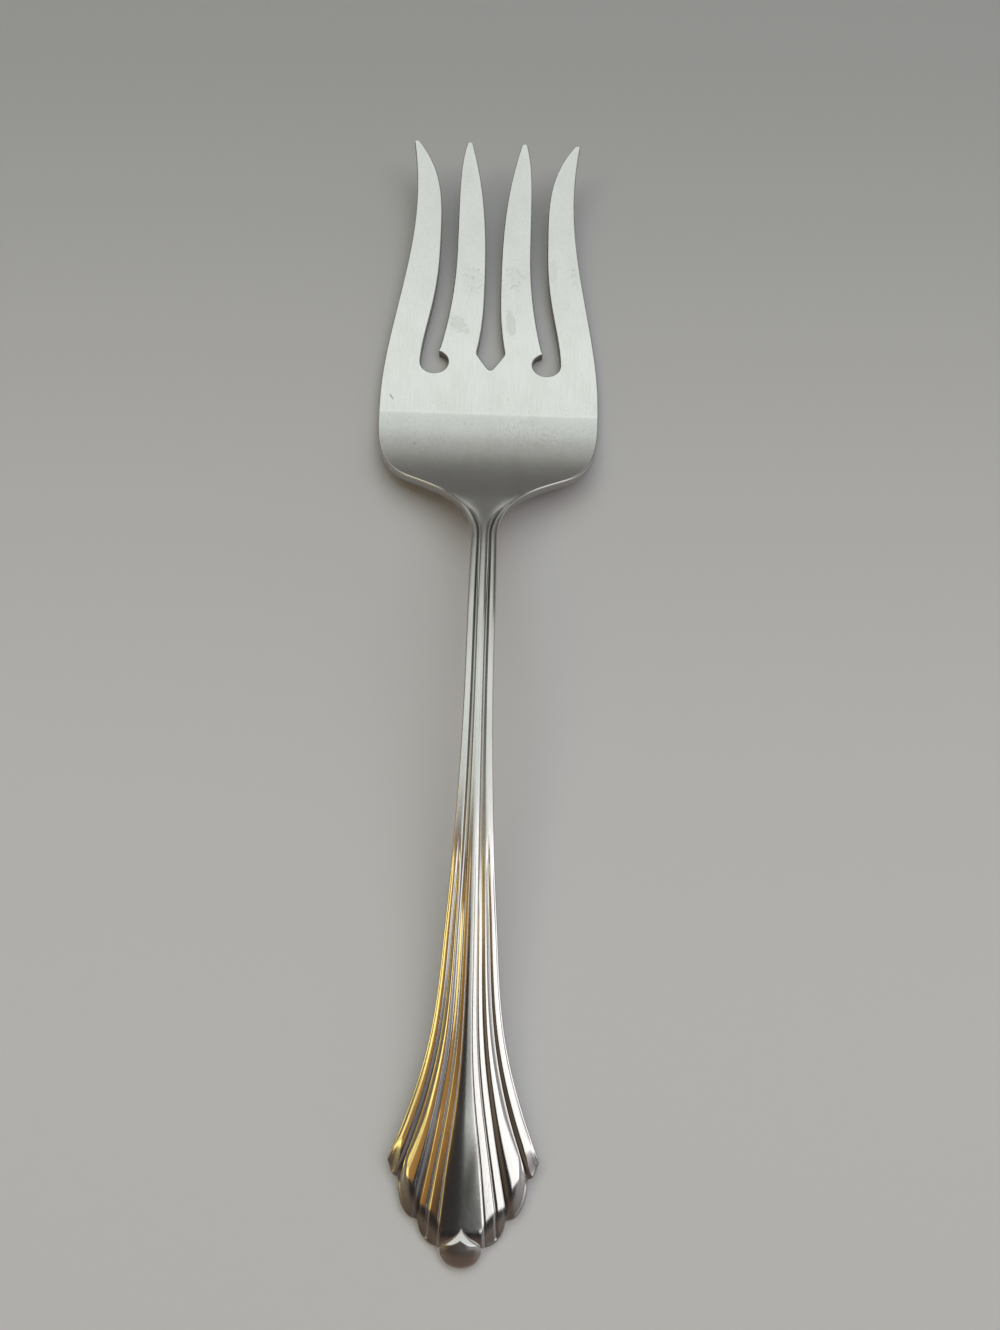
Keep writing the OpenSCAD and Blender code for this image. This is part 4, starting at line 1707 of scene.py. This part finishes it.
@dataclass(frozen=True)
class PolishedSteel(Steel):
    """Finish of the handle, with dulled and dented lobes at its end."""

    dents: Grain = Grain((0.9, 0.9, 0.9), turn=30.0)
    dent_stations: Pair = (8.0, 3.5)
    dent_height: float = 5.0
    dulled: Mark = Mark(1.3, 13.0, 1.3, 7.0, turn=-9.0, strength=0.5, ragged=0.6, grain=0.3,
                        core=0.1)
    pits: Grain = Grain((0.16, 0.16, 0.16), detail=1.0)
    pit_span: Pair = (0.66, 0.74)
    pit_stations: Pair = (24.0, 9.0)
    pit_share: float = 0.2

    def height(self, shader: Shader, grain: Socket) -> Socket:
        """Adds soft dents towards the end of the handle to the grain.

        Args:
            shader: The material.
            grain: Height of the grain.

        Returns:
            Height of both.
        """
        depth = self.ramp(shader, self.dent_stations, 0.0, self.dent_height)
        dents = shader.math("MULTIPLY", shader.noise(self.dents), depth)
        return shader.math("ADD", grain, dents)

    def wear(self, shader: Shader) -> Socket:
        """Adds small pits, more of them towards the end of the handle, and a dulled patch.

        Args:
            shader: The material.

        Returns:
            Their mask.
        """
        pits = shader.step(shader.noise(self.pits), *self.pit_span)
        share = self.ramp(shader, self.pit_stations, 0.0, self.pit_share)
        pitted = shader.math("MULTIPLY", pits, share)
        return shader.math("MAXIMUM", pitted, self.dulled.mask(shader, self.middle))


@dataclass
class Stamping:
    """The struck fork, before it is cut into handle and blade."""

    at: Stations
    side: SideView
    plan: PlanView
    ornament: Ornament
    die: Die
    carried: tuple[str, ...] = ("hollow", "end_bend", "under")

    def build(self, material: bpy.types.Material) -> None:
        """Strikes the blank and keeps its mesh, its marks and the clean directions of its surface.

        Args:
            material: Finish of the struck blank.
        """
        mesh, known = Blank(self.side, self.plan, self.ornament).mesh()
        rough = add_object("fork_blank", mesh)
        self.struck = self.die.strike(rough, material)
        bpy.data.objects.remove(rough)
        self.kept = {name: np.zeros(len(self.struck.vertices), np.float32) for name in self.carried}
        for name, values in self.kept.items():
            self.struck.attributes[name].data.foreach_get("value", values)
        self.normals = read_vectors(self.struck, "normal")
        fixed = np.linalg.norm(known, axis=1) > 0
        self.normals[fixed] = known[fixed] / np.linalg.norm(known[fixed], axis=1, keepdims=True)

    def cut(self, name: str, toward: Toward) -> bpy.types.Object:
        """Takes the faces on one side of the neck's foot and closes the cut.

        Args:
            name: Name of the new piece.
            toward: The side that is kept.

        Returns:
            The new object, whose surface runs on smoothly over the cut.
        """
        place = (self.at.neck_foot - self.at.tip / 2) * MM
        way = toward.value
        points = read_vectors(self.struck, "co")
        kept = [tuple(p.vertices) for p in self.struck.polygons if way * (p.center.y - place) > 0]
        used = np.unique(np.concatenate([np.array(face) for face in kept]))
        number = np.full(len(points), -1)
        number[used] = np.arange(len(used))
        faces = [tuple(int(number[i]) for i in face) for face in kept]
        cap = self.open_edge(faces)
        marks = {mark: values[used] for mark, values in self.kept.items()}
        mesh = make_mesh(name, points[used], faces + [cap], marks)
        rim = set(cap)
        for edge in mesh.edges:
            edge.use_edge_sharp = edge.vertices[0] in rim and edge.vertices[1] in rim
        corners = np.zeros(len(mesh.loops), int)
        mesh.loops.foreach_get("vertex_index", corners)
        wanted = self.normals[used][corners]
        last = mesh.polygons[len(faces)]
        wanted[last.loop_start:last.loop_start + last.loop_total] = (0, -way, 0)
        mesh.normals_split_custom_set(wanted.tolist())
        return add_object(name, mesh)

    @staticmethod
    def open_edge(faces: list[Face]) -> Face:
        """Finds the one open edge of a set of faces.

        Args:
            faces: Numbers of each face's points.

        Returns:
            Numbers of the edge's points, in the order that closes it.
        """
        edges = {(a, b) for face in faces for a, b in zip(face, face[1:] + face[:1])}
        follow = {b: a for a, b in edges if (b, a) not in edges}
        ring = [min(follow)]
        while follow[ring[-1]] != ring[0]:
            ring.append(follow[ring[-1]])
        return tuple(ring)


class Section(ABC):
    """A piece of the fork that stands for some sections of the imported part."""

    slot: str
    nodes: tuple[str, ...]
    piece: bpy.types.Object

    @abstractmethod
    def build(self) -> None:
        """Makes the piece."""

    def dress(self, material: bpy.types.Material) -> None:
        """Puts the finish on the piece and the piece into the frame.

        Args:
            material: The finish.
        """
        self.piece.data.materials.clear()
        self.piece.data.materials.append(material)
        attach(self.piece, "root")
        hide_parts(*self.nodes)


@dataclass
class Handle(Section):
    """Grooved shank and fluted fan."""

    stamping: Stamping
    slot: str = "polished_steel"
    nodes: tuple[str, ...] = ("shank", "fan")

    def build(self) -> None:
        """Cuts the handle from the stamping."""
        self.piece = self.stamping.cut("handle", Toward.HANDLE)


@dataclass
class Blade(Section):
    """Neck, head and tines."""

    stamping: Stamping
    slot: str = "satin_steel"
    nodes: tuple[str, ...] = ("neck", "head", "tine_outer_left", "tine_inner_left",
                              "tine_inner_right", "tine_outer_right")

    def build(self) -> None:
        """Cuts the blade from the stamping."""
        self.piece = self.stamping.cut("blade", Toward.TINES)


@dataclass
class Finial(Section):
    """Domed bud at the end of the handle, with a bevel along its two upper edges."""

    side: SideView
    ornament: Ornament
    slot: str = "polished_steel"
    nodes: tuple[str, ...] = ("finial",)
    crown: float = 0.4
    bud_drop: float = 0.8
    drop_power: float = 3.0
    seat_drop: float = 0.4
    bud_lean: float = 0.16
    dulled: float = 0.2
    bevel_slope: float = 0.4
    bevel_width: float = 1.0
    bevel_blend: float = 0.02
    seat_gap: float = 0.03
    rim_points: int = 48
    rings: int = 20
    under_radius: float = 0.4
    wall_steps: int = 5
    least_wall: float = 0.05
    seat_samples: int = 80

    def rim(self) -> Array:
        """Draws the outline of the bud in plan.

        Returns:
            Its points, anticlockwise from the bud's point.
        """
        t = np.linspace(0, 1, self.rim_points // 2 + 1)
        half = self.ornament.finial_point(t) - [0, self.seat_gap]
        turn = np.linspace(0, math.pi, self.rim_points + 1)[1:-1]
        width, low = half[-1]
        round_end = np.stack([width * np.cos(turn), low * (1 - np.sin(turn))], 1)
        clockwise = np.concatenate([half, round_end, mirrored(half)[:-1]])
        return clockwise[::-1]

    def height(self, plan: Array) -> Array:
        """Height of the bud's face: a dome that leans to the end, cut by the bevel along the seat.

        Args:
            plan: Points in plan.

        Returns:
            Heights there.
        """
        ornament = self.ornament
        half = ornament.finial_point(np.linspace(0, 1, self.seat_samples))
        seat_line = np.concatenate([half, mirrored(half)])
        away = np.linalg.norm(plan[:, None] - seat_line[None], axis=2).min(1)
        bevel = self.side.face(Level.TOP, plan[:, 1]) - self.seat_drop + self.bevel_slope * away
        below = np.minimum(plan[:, 1] / ornament.finial_side - 1, 0)
        radius = np.sqrt((2 * plan[:, 0] / ornament.finial_width) ** 2 + below**2)
        ridge = ornament.finial_length - self.bevel_width
        top = float(self.side.face(Level.TOP, np.array([ridge]))[0]) - self.seat_drop + self.crown
        fall = self.bud_drop * clamp(radius) ** self.drop_power
        dome = top + self.bud_lean * (plan[:, 1] - ridge) - fall
        return -self.bevel_blend * np.logaddexp(-dome / self.bevel_blend, -bevel / self.bevel_blend)

    def build(self) -> None:
        """Builds the bud from rings about its middle."""
        rim = self.rim()
        centre = np.array([0, self.ornament.finial_side])
        maker = MeshMaker()
        shares = np.linspace(0, 1, self.rings + 1)[1:]
        plans = [centre[None], *(centre + share * (rim - centre) for share in shares)]
        worn = [{"end_bend": np.full(len(plan), self.dulled)} for plan in plans]
        summit, *rings = [maker.add(*plan.T, self.height(plan), marks)
                          for plan, marks in zip(plans, worn)]
        last = maker.points(rings[-1])
        under = self.side.face(Level.BOTTOM, rim[:, 1])
        reach = np.linalg.norm(rim - centre, axis=1)
        for angle in np.linspace(0, math.pi / 2, self.wall_steps):
            inset = 1 - self.under_radius * (1 - math.cos(angle)) / reach
            plan = centre + inset[:, None] * (rim - centre)
            z = under + self.under_radius * (1 - math.sin(angle))
            rings.append(maker.add(*plan.T, np.minimum(z, last[:, 2] - self.least_wall), {}))
        for upper, lower in zip(rings[:-1], rings[1:]):
            maker.strip(upper, lower)
        foot = maker.add(centre[:1], centre[1:], self.side.face(Level.BOTTOM, centre[1:]), {})
        maker.fan(int(summit[0]), rings[0], Level.TOP)
        maker.fan(int(foot[0]), rings[-1], Level.BOTTOM)
        mesh, _ = maker.finish("finial", self.ornament.plan.at.tip / 2)
        self.piece = add_object("finial_bud", mesh)


@dataclass(frozen=True)
class Softbox:
    """Level rectangular lamp above the table, its edges across and along the fork in metres."""

    name: str
    across: Pair
    along: Pair
    radiance: float
    colour: Colour
    height: float = 2.0

    def build(self) -> None:
        """Builds the lamp, which lights the fork and stays out of the picture."""
        (left, right), (near, far) = self.across, self.along
        data = bpy.data.lights.new(self.name, "AREA")
        data.shape = "RECTANGLE"
        data.size, data.size_y = right - left, far - near
        data.color = self.colour
        data.energy = math.pi * data.size * data.size_y * self.radiance
        lamp = add_object(self.name, data)
        lamp.location = ((left + right) / 2, (near + far) / 2, self.height)
        lamp.visible_camera = False


@dataclass(frozen=True)
class Glow:
    """Soft light from one side of the room, between two values of the direction along an axis."""

    axis: str
    start: float
    stop: float
    colour: Colour


@dataclass(frozen=True)
class Studio:
    """Pale floor, soft light and the camera."""

    floor_near: Colour = (0.9, 0.89, 0.9, 1.0)
    # Painted shade: the floor is darker towards the far side.
    floor_far_painted_shade: Colour = (0.54, 0.55, 0.555, 1.0)
    floor_shade_span: Pair = (-0.09, 0.19)
    floor_size: float = 8.0
    floor_roughness: float = 0.8
    floor_specular: float = 0.1
    horizon: Colour = (0.42, 0.42, 0.42, 1.0)
    horizon_height: float = 0.04
    room: Colour = (0.085, 0.08, 0.072, 1.0)
    room_height: float = 0.12
    ceiling: Colour = (0.02, 0.018, 0.02, 1.0)
    ceiling_height: float = 1.0
    viewer_shade: float = 0.35
    viewer_span: Pair = (-0.6, -0.3)
    glows: tuple[Glow, ...] = (
        Glow("X", 0.4, 0.75, (0.28, 0.265, 0.285, 1.0)),
        Glow("X", -0.4, -0.75, (0.12, 0.085, 0.05, 1.0)),
        Glow("Y", -0.44, -0.68, (0.3, 0.2, 0.155, 1.0)),
    )
    lamps: tuple[Softbox, ...] = (
        Softbox("back_box", (-1.7, 1.0), (-0.22, 1.55), 0.86, (0.93, 1.0, 0.975)),
        Softbox("palm_box", (-1.7, 1.0), (1.55, 2.02), 1.08, (0.93, 1.0, 0.975)),
        Softbox("heel_box", (-1.7, 1.0), (2.02, 3.3), 0.76, (0.93, 1.0, 0.975)),
        Softbox("far_box", (-1.7, 1.0), (3.3, 4.75), 0.43, (0.97, 1.0, 0.97)),
        Softbox("bead_box", (-0.22, 0.0), (-0.58, -0.22), 0.74, (0.95, 1.0, 0.97)),
        Softbox("right_box", (0.0, 0.32), (-0.76, -0.22), 0.74, (0.95, 1.0, 0.96)),
        Softbox("right_core", (0.32, 2.6), (-0.88, -0.22), 1.35, (1.0, 0.99, 0.99)),
        Softbox("right_tail", (1.6, 3.2), (-0.22, 0.3), 1.0, (1.0, 0.99, 0.99)),
        Softbox("right_end", (1.0, 1.6), (-0.22, 1.5), 0.8, (1.0, 0.99, 0.99)),
        Softbox("left_box", (-1.5, -0.36), (-0.76, -0.38), 0.4, (1.0, 0.48, 0.08)),
        Softbox("left_core", (-2.7, -1.5), (-0.78, -0.38), 1.7, (1.0, 0.8, 0.24)),
        Softbox("left_end", (-2.7, -1.72), (-0.3, 0.04), 1.3, (1.0, 0.78, 0.2)),
    )
    camera_place: Triple = (1.23, -85.52, 168.3)
    camera_heading: float = 1.907
    camera_elevation: float = 66.914
    camera_roll: float = 3.537
    camera_near: float = 0.01
    focal_pixels: float = 1000.0
    image_height: float = 1330.0
    sensor: float = 36.0

    def build(self) -> None:
        """Builds floor, world, lamps and camera."""
        self.build_floor()
        self.build_world()
        for lamp in self.lamps:
            lamp.build()
        self.build_camera()

    def build_floor(self) -> None:
        """Builds the floor the fork lies on."""
        half = self.floor_size / 2
        corners = np.array([(-half, -half, 0), (half, -half, 0), (half, half, 0), (-half, half, 0)])
        mesh = make_mesh("floor", corners, [(0, 1, 2, 3)], {})
        paper = Shader("floor")
        # Painted shade: the floor darkens away from the camera, which also darkens it under the
        # head and between the tines.
        share = paper.step(paper.along, *self.floor_shade_span)
        for name, value in (("Base Color", paper.blend(self.floor_near, self.floor_far_painted_shade, share)),
                            ("Metallic", 0.0), ("Roughness", self.floor_roughness),
                            ("Specular IOR Level", self.floor_specular)):
            paper.feed(paper.surface[name], value)
        mesh.materials.append(paper.material)
        floor = add_object("floor", mesh)

    def build_world(self) -> None:
        """Builds the dim room, pale at the horizon, with its glows and a dark side."""
        world = bpy.data.worlds.new("studio")
        bpy.context.scene.world = world
        world.use_nodes = True
        maker, nodes = NodeMaker(world.node_tree), world.node_tree.nodes
        view = maker.add("ShaderNodeTexCoord", {}).outputs["Generated"]
        toward = maker.add("ShaderNodeSeparateXYZ", {0: view}).outputs
        room = maker.add("ShaderNodeValToRGB", {"Fac": toward["Z"]})
        stops = room.color_ramp.elements
        stops[0].position, stops[0].color = self.horizon_height, self.horizon
        stops[1].position, stops[1].color = self.ceiling_height, self.ceiling
        stops.new(self.room_height).color = self.room
        shade = maker.step(toward["Y"], *self.viewer_span, self.viewer_shade, 1.0)
        maker.feed(nodes["Background"].inputs["Color"], room.outputs["Color"])
        maker.feed(nodes["Background"].inputs["Strength"], shade)
        total = nodes["Background"].outputs[0]
        for glow in self.glows:
            share = maker.step(toward[glow.axis], glow.start, glow.stop)
            strength = maker.math("MULTIPLY", share, shade)
            light = maker.add("ShaderNodeBackground", {"Color": glow.colour, "Strength": strength})
            total = maker.add("ShaderNodeAddShader", {0: total, 1: light.outputs[0]}).outputs[0]
        maker.feed(nodes["World Output"].inputs["Surface"], total)

    def build_camera(self) -> None:
        """Builds the camera at the photograph's viewing angle."""
        data = bpy.data.cameras.new("camera")
        data.sensor_width = self.sensor
        data.lens = self.sensor * self.focal_pixels / self.image_height
        data.clip_start = self.camera_near
        camera = add_object("camera", data)
        heading, down, roll = (math.radians(angle) for angle in
                               (self.camera_heading, self.camera_elevation, self.camera_roll))
        forward = Vector((math.sin(heading) * math.cos(down), math.cos(heading) * math.cos(down),
                          -math.sin(down)))
        level = forward.cross(Vector((0, 0, 1))).normalized()
        upright = level.cross(forward)
        right = level * math.cos(roll) + upright * math.sin(roll)
        up = upright * math.cos(roll) - level * math.sin(roll)
        turn = Matrix((right, up, -forward)).transposed()
        camera.matrix_world = Matrix.Translation(Vector(self.camera_place) * MM) @ turn.to_4x4()
        bpy.context.scene.camera = camera


def main() -> None:
    """Builds the fork, the studio and the camera."""
    logging.basicConfig(level=logging.INFO, format="%(message)s")
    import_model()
    bpy.context.scene.view_settings.view_transform = "Standard"
    Studio().build()
    at = Stations.from_frame()
    side, plan = SideView(at), PlanView(at)
    ornament = Ornament(plan)
    satin = SatinSteel("satin_steel", at.tip / 2).material()
    polished = PolishedSteel("polished_steel", at.tip / 2).material()
    stamping = Stamping(at, side, plan, ornament, Die())
    stamping.build(polished)
    for section, material in ((Handle(stamping), polished), (Blade(stamping), satin),
                              (Finial(side, ornament), polished)):
        section.build()
        section.dress(material)
        piece = section.piece
        LOG.info("%s: %d faces, finish %s", piece.name, len(piece.data.polygons), material.name)


if __name__ == "__main__":
    main()
